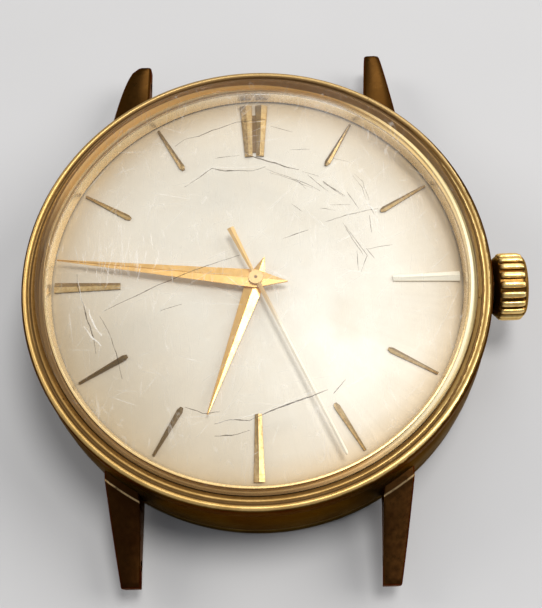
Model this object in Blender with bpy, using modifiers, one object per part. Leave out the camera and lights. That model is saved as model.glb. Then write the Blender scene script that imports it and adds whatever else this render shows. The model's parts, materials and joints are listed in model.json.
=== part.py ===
"""Hand-wound wrist watch head with a domed acrylic glass, as an assembly of its real pieces.

Dimensions below are in millimetres; the model itself is in metres.
Frame: origin at the centre of the case back's flat underside, +Z out through the glass,
+Y to 12 o'clock, +X to 3 o'clock and the crown. Heights below are counted from the level of
the lugs' feet, and the last lines lift the whole watch by BACK_DEPTH into that frame.
"""

import math

import bmesh
import bpy

MM = 0.001

# ---- case ------------------------------------------------------------------------------
CASE_R = 18.0
FLANK_R = 18.12
BACK_R = 18.05
BACK_DEPTH = 1.2
LUG_GAP_HALF = 9.10
LUG_ROOT_X = 12.1
LUG_TIP_X = 10.50
LUG_TIP_Y = 22.45
LUG_ROOT_Y = 16.4
LUG_ROOT_TOP = 3.6
LUG_TIP_TOP = 1.6
LUG_FOOT_Z = 0.4
BAR_HOLE_R = 0.45
BAR_HOLE_Y = 20.6
BAR_HOLE_Z = 1.1
BEZEL_TOP = 7.5
GLASS_R = 16.75
GLASS_WALL = 0.45
RING_R = 16.25
RING_INNER_R = 15.85
GLASS_TOP = 10.6
DIAL_TOP = 6.2
DIAL_UNDER = 5.8
DIAL_R = 16.2
ROUND = 60

# ---- crown and stem --------------------------------------------------------------------
STEM_Z = 3.72
CROWN_R = 2.65
FLUTE_ROOT_R = 2.37
CROWN_FLUTES = 20
GRIP_START = 18.68
GRIP_END = 20.66
TUBE_R = 1.0

# ---- movement levels -------------------------------------------------------------------
PLATE_R = 13.0
PLATE_LOW = 4.2
PLATE_TOP = 5.0
BRIDGE_LOW = 1.5
BRIDGE_TOP = 2.05

# ---- train -----------------------------------------------------------------------------
BARREL_AT = (3.4, 4.8)
BARREL_TEETH = 78
CENTRE_LEAVES = 12
BARREL_MODULE = 2.0 * math.hypot(*BARREL_AT) / (BARREL_TEETH + CENTRE_LEAVES)
THIRD_DISTANCE = 4.5
THIRD_ANGLE = math.radians(165.0)
ESCAPE_DISTANCE = 3.3
ESCAPE_ANGLE = math.radians(240.0)
LINE_ANGLE = math.radians(238.0)
FORK_STEP = 2.3
BALANCE_STEP = 2.7
BALANCE_R = 3.8
HAND_MODULE = 0.10
LEAF_MODULE = 0.096
MINUTE_WHEEL_X = 2.4
SETTING_WHEEL_X = 5.4
CROWN_WHEEL_TEETH = 26
RATCHET_TEETH = 54
WINDING_MODULE = 0.16
CLICK_ANGLE = math.radians(130.0)

# ---- time shown: 6 h 46 min 26 s -------------------------------------------------------
SECONDS_SHOWN = 25.9
MINUTES_SHOWN = 46.25
HOUR_HAND_LAG = 0.12
HOURS_SHOWN = 6.0 + MINUTES_SHOWN / 60.0 - HOUR_HAND_LAG


def polar(radius, angle, centre=(0.0, 0.0)):
    return (centre[0] + radius * math.cos(angle), centre[1] + radius * math.sin(angle))


THIRD_AT = polar(THIRD_DISTANCE, THIRD_ANGLE)
ESCAPE_AT = polar(ESCAPE_DISTANCE, ESCAPE_ANGLE)
FORK_AT = polar(FORK_STEP, LINE_ANGLE, ESCAPE_AT)
BALANCE_AT = polar(BALANCE_STEP, LINE_ANGLE, FORK_AT)
WINDING_DISTANCE = WINDING_MODULE * (CROWN_WHEEL_TEETH + RATCHET_TEETH) / 2.0
CROWN_WHEEL_AT = (BARREL_AT[0] + math.sqrt(WINDING_DISTANCE ** 2 - BARREL_AT[1] ** 2), 0.0)
CLICK_AT = polar(5.35, CLICK_ANGLE, BARREL_AT)

for stale in list(bpy.data.objects):
    bpy.data.objects.remove(stale, do_unlink=True)

WATCH = bpy.data.collections.new("wrist_watch")
CUTTERS = bpy.data.collections.new("cutters")
bpy.context.scene.collection.children.link(WATCH)
bpy.context.scene.collection.children.link(CUTTERS)


def finish(name, colour, metallic, roughness, alpha=1.0, transmission=0.0):
    material = bpy.data.materials.new(name)
    material.use_nodes = True
    shader = material.node_tree.nodes["Principled BSDF"]
    shader.inputs["Base Color"].default_value = (*colour, 1.0)
    shader.inputs["Metallic"].default_value = metallic
    shader.inputs["Roughness"].default_value = roughness
    shader.inputs["Alpha"].default_value = alpha
    shader.inputs["Transmission Weight"].default_value = transmission
    material.diffuse_color = (*colour, alpha)
    return material


GOLD = finish("gold_plate", (0.80, 0.56, 0.26), 1.0, 0.25)
GILT = finish("gilt_hands", (0.86, 0.66, 0.36), 1.0, 0.22)
CREAM = finish("silvered_dial", (0.74, 0.68, 0.58), 0.3, 0.42)
ACRYLIC = finish("acrylic_glass", (0.97, 0.96, 0.93), 0.0, 0.06, 0.25, 0.9)
STEEL = finish("polished_steel", (0.62, 0.62, 0.63), 1.0, 0.28)
NICKEL = finish("nickelled_brass", (0.72, 0.70, 0.64), 1.0, 0.34)
BRASS = finish("gilt_brass", (0.78, 0.60, 0.30), 1.0, 0.32)
SEAL = finish("black_rubber", (0.03, 0.03, 0.03), 0.0, 0.7)
HOLDER = finish("grey_plastic", (0.30, 0.30, 0.31), 0.0, 0.5)
BLUED = finish("blued_steel", (0.07, 0.10, 0.28), 1.0, 0.3)


def keep(obj, material, collection=WATCH, parent=None):
    obj.data.materials.append(material)
    collection.objects.link(obj)
    if parent is not None:
        obj.parent = parent
    return obj


def empty(name, at, parent=None):
    marker = bpy.data.objects.new(name, None)
    marker.location = [value * MM for value in at]
    marker.empty_display_size = 1.0 * MM
    WATCH.objects.link(marker)
    if parent is not None:
        marker.parent = parent
    return marker


def shade(obj):
    obj.data.shade_smooth()
    obj.data.set_sharp_from_angle(angle=math.radians(32.0))


def turned(
    name,
    profile,
    material,
    closed=False,
    at=(0.0, 0.0, 0.0),
    along_x=False,
    steps=ROUND,
    parent=None,
):
    """A turned piece: (radius, height) points, running down the outer side."""
    mesh = bpy.data.meshes.new(name)
    count = len(profile)
    edges = [(i, i + 1) for i in range(count - 1)]
    if closed:
        edges.append((count - 1, 0))
    mesh.from_pydata([(r * MM, 0.0, z * MM) for r, z in profile], edges, [])
    obj = bpy.data.objects.new(name, mesh)
    screw = obj.modifiers.new("turn", "SCREW")
    screw.steps = steps
    screw.render_steps = steps
    screw.use_merge_vertices = True
    screw.merge_threshold = 1e-8
    screw.use_smooth_shade = True
    obj.location = [value * MM for value in at]
    if along_x:
        obj.rotation_euler = (0.0, math.radians(90.0), 0.0)
    return keep(obj, material, parent=parent)


def plate(name, loops, low, high, material, at=(0.0, 0.0), solid=False, turn=0.0):
    """A flat outline with its holes, from height low to height high."""
    curve = bpy.data.curves.new(name, "CURVE")
    curve.dimensions = "2D"
    curve.fill_mode = "BOTH"
    curve.extrude = (high - low) / 2.0 * MM
    for loop in loops:
        spline = curve.splines.new("POLY")
        spline.points.add(len(loop) - 1)
        for point, (x, y) in zip(spline.points, loop):
            point.co = (x * MM, y * MM, 0.0, 1.0)
        spline.use_cyclic_u = True
    obj = bpy.data.objects.new(name, curve)
    obj.location = (at[0] * MM, at[1] * MM, (low + high) / 2.0 * MM)
    obj.rotation_euler = (0.0, 0.0, turn)
    keep(obj, material)
    if not solid:
        return obj
    bpy.context.view_layer.update()
    shape = obj.evaluated_get(bpy.context.evaluated_depsgraph_get())
    mesh = bpy.data.meshes.new_from_object(shape)
    work = bmesh.new()
    work.from_mesh(mesh)
    bmesh.ops.remove_doubles(work, verts=work.verts, dist=1e-8)
    work.to_mesh(mesh)
    work.free()
    body = bpy.data.objects.new(name + "_solid", mesh)
    body.matrix_world = obj.matrix_world.copy()
    bpy.data.objects.remove(obj, do_unlink=True)
    body.name = name
    body.data.materials.clear()
    return keep(body, material)


def rod(name, radius, low, high, material, at=(0.0, 0.0), along_x=False, sides=20):
    """A round rod along Z, or along X when it lies in the stem's line (at = (y, z))."""
    work = bmesh.new()
    bmesh.ops.create_cone(
        work,
        cap_ends=True,
        segments=sides,
        radius1=radius * MM,
        radius2=radius * MM,
        depth=(high - low) * MM,
    )
    mesh = bpy.data.meshes.new(name)
    work.to_mesh(mesh)
    work.free()
    obj = bpy.data.objects.new(name, mesh)
    if along_x:
        obj.location = ((low + high) / 2.0 * MM, at[0] * MM, at[1] * MM)
        obj.rotation_euler = (0.0, math.radians(90.0), 0.0)
    else:
        obj.location = (at[0] * MM, at[1] * MM, (low + high) / 2.0 * MM)
    return keep(obj, material)


def box(name, low, high, material):
    work = bmesh.new()
    bmesh.ops.create_cube(work, size=1.0)
    mesh = bpy.data.meshes.new(name)
    for vert in work.verts:
        vert.co = [vert.co[i] * (high[i] - low[i]) * MM for i in range(3)]
    work.to_mesh(mesh)
    work.free()
    obj = bpy.data.objects.new(name, mesh)
    obj.location = [(low[i] + high[i]) / 2.0 * MM for i in range(3)]
    return keep(obj, material)


def tool(obj):
    """Hide a piece that only shapes another one."""
    for collection in list(obj.users_collection):
        collection.objects.unlink(obj)
    CUTTERS.objects.link(obj)
    obj.hide_render = True
    obj.display_type = "WIRE"
    return obj


def combine(target, piece, operation):
    step = target.modifiers.new(piece.name, "BOOLEAN")
    step.operation = operation
    step.solver = "EXACT"
    step.object = tool(piece)


def join(target, *pieces):
    for piece in pieces:
        combine(target, piece, "UNION")
    return target


def cut(target, *pieces):
    for piece in pieces:
        combine(target, piece, "DIFFERENCE")
    return target


def circle(radius, count=12, centre=(0.0, 0.0)):
    return [polar(radius, 2.0 * math.pi * i / count, centre) for i in range(count)]


def arc(radius, start, stop, count, centre=(0.0, 0.0)):
    return [
        polar(radius, math.radians(start + (stop - start) * i / (count - 1)), centre)
        for i in range(count)
    ]


def teeth(number, module, phase=0.0, tip=0.6, root=1.2):
    """A wheel's toothed outline, one tooth centred on the phase angle."""
    radius = number * module / 2.0
    step = 2.0 * math.pi / number
    points = []
    crest = ((-0.10, tip), (0.10, tip)) if number <= 40 else ((0.0, tip),)
    for i in range(number):
        for share, offset in (*crest, (0.50, -root)):
            points.append(polar(radius + offset * module, phase + (i + share) * step))
    return points


def meshed(phase, number, other, direction):
    """Phase of a wheel of `other` teeth that lies in `direction` from one of `number`."""
    share = ((direction - phase) * number / (2.0 * math.pi)) % 1.0
    return direction + math.pi - 2.0 * math.pi * (0.5 - share) / other


def windows(count, inner, outer, spoke, phase=0.0):
    """Openings between the spokes of a wheel."""
    loops = []
    for i in range(count):
        middle = phase + 2.0 * math.pi * (i + 0.5) / count
        half_out = math.pi / count - spoke / 2.0 / outer
        half_in = math.pi / count - spoke / 2.0 / inner
        loop = [polar(outer, middle - half_out + half_out * k / 1.5) for k in range(4)]
        loop += [polar(inner, middle + half_in - half_in * 2.0 * k) for k in range(2)]
        loops.append(loop)
    return loops


def spiral(inner, outer, turns, width, per_turn, phase=0.0):
    """A flat strip wound into a spiral."""
    count = int(turns * per_turn)
    sides = ([], [])
    for i in range(count + 1):
        angle = phase + 2.0 * math.pi * turns * i / count
        radius = inner + (outer - inner) * i / count
        sides[0].append(polar(radius - width / 2.0, angle))
        sides[1].append(polar(radius + width / 2.0, angle))
    return sides[0] + sides[1][::-1]


def faceted_bar(name, sections, low, rise, ridge, material, turn=0.0):
    """A tapering bar along +Y with a ridge: sections are (y, half width); ends taper to the ridge."""
    work = bmesh.new()
    rows = []
    for y, half in sections:
        row = [
            work.verts.new((-half * MM, y * MM, low * MM)),
            work.verts.new((half * MM, y * MM, low * MM)),
            work.verts.new((half * MM, y * MM, (low + rise) * MM)),
            work.verts.new((0.0, y * MM, (low + ridge) * MM)),
            work.verts.new((-half * MM, y * MM, (low + rise) * MM)),
        ]
        rows.append(row)
    for first, second in zip(rows, rows[1:]):
        for i in range(5):
            j = (i + 1) % 5
            work.faces.new((first[i], first[j], second[j], second[i]))
    work.faces.new(rows[0][::-1])
    work.faces.new(rows[-1])
    bmesh.ops.recalc_face_normals(work, faces=work.faces)
    mesh = bpy.data.meshes.new(name)
    work.to_mesh(mesh)
    work.free()
    obj = bpy.data.objects.new(name, mesh)
    obj.rotation_euler = (0.0, 0.0, turn)
    return keep(obj, material)


# ==== case ==============================================================================
case_middle = turned(
    "case_middle",
    [
        (16.85, 6.55),
        (16.85, 5.50),
        (17.92, 5.50),
        (FLANK_R, 3.80),
        (FLANK_R, 0.90),
        (17.90, LUG_FOOT_Z),
        (16.38, LUG_FOOT_Z),
        (16.38, 0.90),
        (16.00, 0.90),
        (16.00, 5.72),
        (16.30, 5.72),
        (16.30, 6.55),
    ],
    GOLD,
    closed=True,
)
lug = plate(
    "lug_blank",
    [[(LUG_GAP_HALF, 14.2), (LUG_ROOT_X, 12.3), (LUG_TIP_X, LUG_TIP_Y), (LUG_GAP_HALF, LUG_TIP_Y)]],
    LUG_FOOT_Z,
    4.5,
    GOLD,
    solid=True,
)
slope = math.atan2(LUG_ROOT_TOP - LUG_TIP_TOP, LUG_TIP_Y - LUG_ROOT_Y)
lug_top = box("lug_top_cutter", (-3.0, -15.0, 0.0), (3.0, 15.0, 6.0), GOLD)
lug_top.location = (
    (LUG_GAP_HALF + 2.0) * MM,
    (LUG_TIP_Y - 3.0 * math.sin(-slope)) * MM,
    (LUG_TIP_TOP + 3.0 * math.cos(slope)) * MM,
)
lug_top.rotation_euler = (-slope, 0.0, 0.0)
cut(lug, lug_top)
mirror = lug.modifiers.new("four_lugs", "MIRROR")
mirror.use_axis = (True, True, False)
mirror.use_mirror_merge = False
mirror.mirror_object = empty("lug_symmetry", (0.0, 0.0, 0.0))
join(case_middle, lug)
for side, sign in (("12", 1.0), ("6", -1.0)):
    cut(
        case_middle,
        rod(
            "bar_hole_cutter_" + side,
            BAR_HOLE_R,
            -LUG_GAP_HALF - 0.8,
            LUG_GAP_HALF + 0.8,
            GOLD,
            at=(sign * BAR_HOLE_Y, BAR_HOLE_Z),
            along_x=True,
            sides=16,
        ),
    )
TUBE_HOLE_R = TUBE_R + 0.03
tube_hole = rod("tube_hole_cutter", TUBE_HOLE_R, 14.0, 19.0, GOLD, (0.0, STEM_Z), True, 24)
cut(case_middle, tube_hole)

turned(
    "bezel",
    [
        (17.16, 7.38),
        (17.30, 7.18),
        (17.44, 7.22),
        (17.60, BEZEL_TOP),
        (17.86, 7.38),
        (CASE_R, 7.05),
        (CASE_R, 5.56),
        (16.90, 5.56),
        (16.90, 6.60),
        (GLASS_R + 0.04, 6.60),
        (GLASS_R + 0.04, 7.12),
    ],
    GOLD,
    closed=True,
)


def dome(radius, shoulder, edge_z, top_z, points):
    """Outer line of the glass: a shallow crown that rolls over into an upright wall."""
    line = []
    for i in range(points + 1):
        share = i / points
        r = (radius - shoulder) * share
        line.append((r, top_z - (top_z - edge_z) * (r / (radius - shoulder)) ** 2))
    for i in range(1, 4):
        angle = math.radians(20.0 + 70.0 * i / 3.0)
        drop = shoulder * (1.0 - math.cos(angle)) - shoulder * (1.0 - math.cos(math.radians(20.0)))
        out = shoulder * (math.sin(angle) - math.sin(math.radians(20.0)))
        scale = shoulder / (shoulder * (1.0 - math.sin(math.radians(20.0))))
        line.append((radius - shoulder + out * scale, edge_z - drop))
    return line


outer_line = dome(GLASS_R, 1.05, 9.05, GLASS_TOP, 5)
inner_line = dome(GLASS_R - GLASS_WALL, 0.85, 8.30, GLASS_TOP - 0.95, 4)
turned(
    "crystal",
    outer_line + [(GLASS_R, 6.64), (GLASS_R - GLASS_WALL, 6.64)] + inner_line[::-1],
    ACRYLIC,
)
turned(
    "tension_ring",
    [(RING_R, 7.25), (RING_R, 6.27), (RING_INNER_R, 6.27), (16.10, 7.25)],
    GOLD,
    closed=True,
)
turned(
    "case_back",
    [
        (0.0, 0.80),
        (15.00, 0.80),
        (15.15, 1.50),
        (15.80, 1.50),
        (15.88, 0.36),
        (17.80, 0.36),
        (BACK_R, 0.16),
        (BACK_R, -0.85),
        (17.65, -BACK_DEPTH),
        (0.0, -BACK_DEPTH),
    ],
    STEEL,
)
turned(
    "case_back_gasket",
    [(16.34, 0.86), (16.34, 0.40), (15.93, 0.40), (15.93, 0.86)],
    SEAL,
    closed=True,
)
holder = turned(
    "movement_ring",
    [(15.92, 5.30), (15.92, 2.60), (13.80, 2.60), (13.80, 4.15), (13.06, 4.15), (13.06, 5.30)],
    HOLDER,
    closed=True,
    steps=48,
)
cut(holder, box("holder_notch_cutter", (12.0, -1.3, 2.0), (17.0, 1.3, 6.0), HOLDER))

# ==== crown, tube and stem ==============================================================
turned(
    "crown_tube",
    [(TUBE_R, 19.40), (TUBE_R, 15.55), (0.58, 15.55), (0.58, 19.40)],
    STEEL,
    closed=True,
    at=(0.0, 0.0, STEM_Z),
    along_x=True,
    steps=24,
)
pull_axis = empty("crown_pull_axis", (0.0, 0.0, STEM_Z))
turned(
    "crown_gasket",
    [(1.27, 19.30), (1.27, 18.85), (1.04, 18.85), (1.04, 19.30)],
    SEAL,
    closed=True,
    at=(0.0, 0.0, 0.0),
    along_x=True,
    steps=24,
    parent=pull_axis,
)
crown = turned(
    "crown",
    [
        (0.0, 21.05),
        (1.30, 21.00),
        (2.10, 20.88),
        (2.40, 20.62),
        (2.40, 18.72),
        (2.05, 18.30),
        (1.32, 18.30),
        (1.32, 20.00),
        (0.50, 20.00),
        (0.50, 20.72),
        (0.0, 20.72),
    ],
    GOLD,
    at=(0.0, 0.0, STEM_Z),
    along_x=True,
    steps=24,
)
flute_step = 2.0 * math.pi / CROWN_FLUTES
flutes = []
for i in range(CROWN_FLUTES):
    for share, radius in ((-0.38, FLUTE_ROOT_R), (-0.24, CROWN_R), (0.24, CROWN_R), (0.38, FLUTE_ROOT_R)):
        flutes.append(polar(radius, (i + share) * flute_step))
grip = plate("crown_grip", [flutes, circle(1.9, 24)], GRIP_START, GRIP_END, GOLD, solid=True)
grip.location = ((GRIP_START + GRIP_END) / 2.0 * MM, 0.0, STEM_Z * MM)
grip.rotation_euler = (0.0, math.radians(90.0), 0.0)
join(crown, grip)

stem = turned(
    "winding_stem",
    [
        (0.0, 20.60),
        (0.42, 20.60),
        (0.42, 10.66),
        (0.24, 10.66),
        (0.24, 10.26),
        (0.42, 10.26),
        (0.42, 8.80),
        (0.0, 8.80),
    ],
    STEEL,
    at=(0.0, 0.0, STEM_Z),
    along_x=True,
    steps=16,
)
join(stem, box("stem_square", (6.95, -0.25, STEM_Z - 0.25), (9.0, 0.25, STEM_Z + 0.25), STEEL))


def on_stem(obj, low, high):
    obj.location = ((low + high) / 2.0 * MM, 0.0, STEM_Z * MM)
    obj.rotation_euler = (0.0, math.radians(90.0), 0.0)
    return obj


on_stem(
    plate("winding_pinion", [teeth(14, 0.17, math.pi / 14.0), circle(0.47, 16)], 8.92, 9.62, STEEL),
    8.92,
    9.62,
)
sliding = plate("sliding_pinion", [teeth(14, 0.13, 0.0)], 7.36, 7.80, STEEL, solid=True)
on_stem(sliding, 7.36, 7.80)
join(sliding, rod("sliding_core", 0.60, 7.70, 8.60, STEEL, at=(0.0, STEM_Z), along_x=True))
clutch = plate("sliding_teeth", [teeth(14, 0.13, 0.0)], 8.44, 8.84, STEEL, solid=True)
join(sliding, on_stem(clutch, 8.44, 8.84))
cut(sliding, box("square_hole_cutter", (7.0, -0.28, STEM_Z - 0.28), (9.2, 0.28, STEM_Z + 0.28), STEEL))

# ==== dial, markers and hands ===========================================================
turned(
    "dial",
    [(0.64, DIAL_TOP), (14.90, DIAL_TOP), (DIAL_R, 6.06), (DIAL_R, DIAL_UNDER), (0.64, DIAL_UNDER)],
    CREAM,
    closed=True,
)
MARK_LOW = DIAL_TOP + 0.01
PAIR_BAR = [(10.85, 0.31), (15.45, 0.50)]
QUARTER_BAR = [(10.5, 0.26), (15.6, 0.42)]
HOUR_BAR = [(11.35, 0.12), (11.65, 0.23), (15.5, 0.10)]
for hour in range(1, 13):
    name = "hour_marker_%02d" % hour
    turn = -math.radians(30.0 * hour)
    if hour == 12:
        first = faceted_bar(name, PAIR_BAR, MARK_LOW, 0.10, 0.30, GILT)
        other = faceted_bar("marker_pair", PAIR_BAR, MARK_LOW, 0.10, 0.30, GILT)
        first.rotation_euler = (0.0, 0.0, math.radians(2.35))
        other.rotation_euler = (0.0, 0.0, math.radians(-2.35))
        join(first, other)
        join(first, box("marker_base", (-0.7, 11.2, MARK_LOW), (0.7, 14.6, MARK_LOW + 0.05), GILT))
    elif hour % 3 == 0:
        faceted_bar(name, QUARTER_BAR, MARK_LOW, 0.10, 0.28, GILT, turn)
    else:
        faceted_bar(name, HOUR_BAR, MARK_LOW, 0.10, 0.24, GILT, turn)


def dauphine(name, length, tail, half, low, hole, turn):
    hand = faceted_bar(name, [(-tail, 0.05), (0.0, half), (length, 0.05)], low, 0.06, 0.17, GILT, turn)
    hub = rod(name + "_hub", hole + 0.14, low - 0.22, low + 0.06, GILT)
    join(hand, hub)
    cut(hand, rod(name + "_hole_cutter", hole, low - 1.0, low + 1.0, GILT))
    return hand


dauphine("hour_hand", 11.2, 1.95, 0.74, 6.72, 0.58, -math.radians(30.0 * HOURS_SHOWN))
dauphine("minute_hand", 15.5, 2.45, 0.74, 7.02, 0.42, -math.radians(6.0 * MINUTES_SHOWN))
seconds = faceted_bar(
    "seconds_hand",
    [(-4.6, 0.27), (-0.3, 0.12), (0.4, 0.11), (15.3, 0.08)],
    7.32,
    0.05,
    0.09,
    GILT,
    -math.radians(6.0 * SECONDS_SHOWN),
)
join(seconds, rod("seconds_hub", 0.55, 7.28, 7.44, GILT, sides=24))
cut(seconds, rod("seconds_hole_cutter", 0.11, 7.0, 7.40, GILT, sides=12))

# ==== plates and bridges ================================================================
def beside(x, y):
    """A point given along and across the line from escape wheel to balance, from the fork."""
    c = math.cos(LINE_ANGLE)
    s = math.sin(LINE_ANGLE)
    return (FORK_AT[0] + x * c - y * s, FORK_AT[1] + x * s + y * c)


mainplate = plate(
    "mainplate",
    [
        circle(PLATE_R, 60),
        circle(0.48, 12, BARREL_AT),
        circle(0.27, 12),
        circle(0.16, 8, THIRD_AT),
        circle(0.16, 8, ESCAPE_AT),
        circle(0.16, 8, FORK_AT),
        circle(0.18, 8, BALANCE_AT),
    ],
    PLATE_LOW,
    PLATE_TOP,
    BRASS,
    solid=True,
)
cut(
    mainplate,
    rod("minute_pocket_cutter", 2.15, 4.65, 5.5, BRASS, at=(MINUTE_WHEEL_X, 0.0), sides=28),
    rod("setting_pocket_cutter", 1.45, 4.65, 5.5, BRASS, at=(SETTING_WHEEL_X, 0.0), sides=24),
    rod("centre_pocket_cutter", 0.95, 4.65, 5.5, BRASS, sides=20),
    box("stem_slot_cutter", (6.30, -1.48, 3.5), (9.75, 1.48, 5.5), BRASS),
    box("stem_channel_cutter", (9.60, -0.55, 3.5), (13.5, 0.55, 5.5), BRASS),
    box("keyless_pocket_cutter", (7.2, -5.0, 4.42), (11.8, -0.3, 5.5), BRASS),
)

barrel_bridge = plate(
    "barrel_bridge",
    [
        arc(12.6, -22.0, 140.0, 20) + [(-2.2, 2.6), (1.2, 1.2), (4.6, -1.5)],
        circle(0.45, 12, BARREL_AT),
        circle(1.06, 20, CROWN_WHEEL_AT),
        circle(0.24, 8, CLICK_AT),
    ],
    BRIDGE_LOW,
    BRIDGE_TOP,
    NICKEL,
    solid=True,
)
join(
    barrel_bridge,
    plate(
        "barrel_bridge_foot",
        [arc(12.5, 22.0, 136.0, 14) + arc(11.45, 136.0, 22.0, 14)],
        1.8,
        4.15,
        NICKEL,
        solid=True,
    ),
)
train_bridge = plate(
    "train_bridge",
    [
        arc(12.6, 143.0, 226.0, 12)
        + [(-5.8, -3.7), (-3.2, -4.1), (-0.6, -3.9), (0.9, -2.4), (2.2, -0.6), (0.9, 0.9), (-2.3, 2.25)],
        circle(0.16, 8),
        circle(0.16, 8, THIRD_AT),
        circle(0.16, 8, ESCAPE_AT),
    ],
    BRIDGE_LOW,
    BRIDGE_TOP,
    NICKEL,
    solid=True,
)
join(
    train_bridge,
    plate(
        "train_bridge_foot",
        [arc(12.5, 150.0, 208.0, 8) + arc(10.4, 208.0, 150.0, 8)],
        1.8,
        4.15,
        NICKEL,
        solid=True,
    ),
)
COCK_SCREW_AT = (2.6, -9.6)
cock = plate(
    "balance_cock",
    [
        [
            (-4.6, -5.9),
            (-3.4, -6.0),
            (0.8, -7.0),
            (3.8, -6.6),
            (5.2, -10.6),
            (0.5, -12.2),
            (-0.6, -9.6),
            (-3.6, -8.4),
            (-5.0, -8.3),
            (-5.6, -7.2),
        ],
        circle(0.18, 8, BALANCE_AT),
        circle(0.30, 10, COCK_SCREW_AT),
    ],
    BRIDGE_LOW,
    BRIDGE_TOP,
    NICKEL,
    solid=True,
)
join(
    cock,
    plate(
        "cock_foot",
        [[(0.7, -7.4), (3.6, -7.2), (4.8, -10.5), (0.7, -11.8)], circle(0.30, 10, COCK_SCREW_AT)],
        1.8,
        4.15,
        NICKEL,
        solid=True,
    ),
)
pallet_bridge = plate(
    "pallet_bridge",
    [
        [
            beside(0.5, 0.5),
            beside(0.2, 2.4),
            beside(-0.7, 2.5),
            beside(-0.5, 0.3),
            beside(-0.5, -0.3),
            beside(-0.7, -2.5),
            beside(0.2, -2.4),
            beside(0.5, -0.5),
        ],
        circle(0.16, 8, FORK_AT),
    ],
    3.02,
    3.30,
    NICKEL,
    solid=True,
)
for side in (1.0, -1.0):
    join(
        pallet_bridge,
        rod("pallet_pillar_%d" % side, 0.32, 3.15, 4.15, NICKEL, at=beside(-0.25, side * 2.0), sides=12),
    )
turned(
    "balance_cock_screw",
    [(0.0, 4.05), (0.24, 4.05), (0.24, 1.47), (0.60, 1.47), (0.60, 1.24), (0.0, 1.24)],
    BLUED,
    at=(COCK_SCREW_AT[0], COCK_SCREW_AT[1], 0.0),
    steps=16,
)

# ==== going train =======================================================================
CENTRE_PHASE = 0.0
barrel_direction = math.atan2(BARREL_AT[1], BARREL_AT[0])
barrel_phase = meshed(CENTRE_PHASE, CENTRE_LEAVES, BARREL_TEETH, barrel_direction)
third_leaf_module = 2.0 * THIRD_DISTANCE / (80 + 10)
third_module = 2.0 * THIRD_DISTANCE / (75 + 10)
escape_module = 2.0 * ESCAPE_DISTANCE / (70 + 7)

centre = plate(
    "centre_wheel",
    [teeth(80, third_leaf_module), *windows(5, 0.9, 3.35, 0.45)],
    2.65,
    2.77,
    BRASS,
    solid=True,
)
join(
    centre,
    rod("centre_arbor", 0.22, 2.60, 6.20, STEEL, sides=12),
    plate("centre_leaves", [teeth(CENTRE_LEAVES, BARREL_MODULE)], 3.62, 3.96, STEEL, solid=True),
    rod("centre_seat", 0.45, 2.60, 2.90, STEEL, sides=12),
)
cut(centre, rod("centre_bore_cutter", 0.14, 2.0, 7.0, STEEL, sides=12))

third_leaf_phase = meshed(0.0, 80, 10, THIRD_ANGLE)
third = plate(
    "third_wheel",
    [teeth(75, third_module), *windows(4, 0.8, 3.3, 0.42)],
    2.38,
    2.50,
    BRASS,
    at=THIRD_AT,
    solid=True,
)
third_teeth = [teeth(10, third_leaf_module, third_leaf_phase)]
join(
    third,
    plate("third_leaves", third_teeth, 2.45, 2.86, STEEL, THIRD_AT, True),
    rod("third_arbor", 0.11, 1.60, 4.90, STEEL, at=THIRD_AT, sides=8),
)

fourth_leaf_phase = meshed(0.0, 75, 10, THIRD_ANGLE + math.pi)
fourth = plate(
    "fourth_wheel",
    [teeth(70, escape_module), *windows(4, 0.75, 2.45, 0.38)],
    2.14,
    2.26,
    BRASS,
    solid=True,
)
fourth_teeth = [teeth(10, third_module, fourth_leaf_phase)]
join(
    fourth,
    plate("fourth_leaves", fourth_teeth, 2.20, 2.57, STEEL, solid=True),
    rod("fourth_arbor", 0.09, 1.60, 7.38, STEEL, sides=8),
)

escape_leaf_phase = meshed(0.0, 70, 7, ESCAPE_ANGLE)
escape_outline = []
for i in range(15):
    for share, radius in ((0.0, 1.24), (0.52, 1.32), (0.66, 1.74), (0.84, 1.70)):
        escape_outline.append(polar(radius, -2.0 * math.pi * (i + share) / 15.0))
escape = plate(
    "escape_wheel",
    [escape_outline, *windows(4, 0.35, 0.98, 0.22)],
    3.46,
    3.58,
    STEEL,
    at=ESCAPE_AT,
    solid=True,
)
escape_teeth = [teeth(7, escape_module, escape_leaf_phase)]
join(
    escape,
    rod("escape_arbor", 0.11, 1.60, 4.90, STEEL, at=ESCAPE_AT, sides=8),
    plate("escape_leaves", escape_teeth, 2.08, 2.40, STEEL, ESCAPE_AT, True),
)

drum = turned(
    "barrel_drum",
    [(4.78, 4.05), (4.78, 2.94), (4.52, 2.94), (4.52, 3.90), (0.46, 3.90), (0.46, 4.05)],
    BRASS,
    closed=True,
    at=(*BARREL_AT, 0.0),
    steps=36,
)
join(
    drum,
    plate(
        "barrel_teeth",
        [teeth(BARREL_TEETH, BARREL_MODULE, barrel_phase), circle(4.66, 36)],
        3.68,
        3.88,
        BRASS,
        BARREL_AT,
        True,
    ),
)
plate("barrel_cover", [circle(4.48, 40), circle(0.46, 12)], 2.95, 3.05, BRASS, at=BARREL_AT)
plate("mainspring", [spiral(1.05, 4.30, 5.0, 0.13, 15)], 3.10, 3.84, STEEL, at=BARREL_AT)
turned(
    "barrel_arbor",
    [
        (0.0, 4.95),
        (0.40, 4.95),
        (0.40, 3.86),
        (0.85, 3.86),
        (0.85, 3.10),
        (0.40, 3.10),
        (0.40, 1.48),
        (0.20, 1.48),
        (0.20, 2.20),
        (0.0, 2.20),
    ],
    STEEL,
    at=(*BARREL_AT, 0.0),
    steps=16,
)

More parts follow.
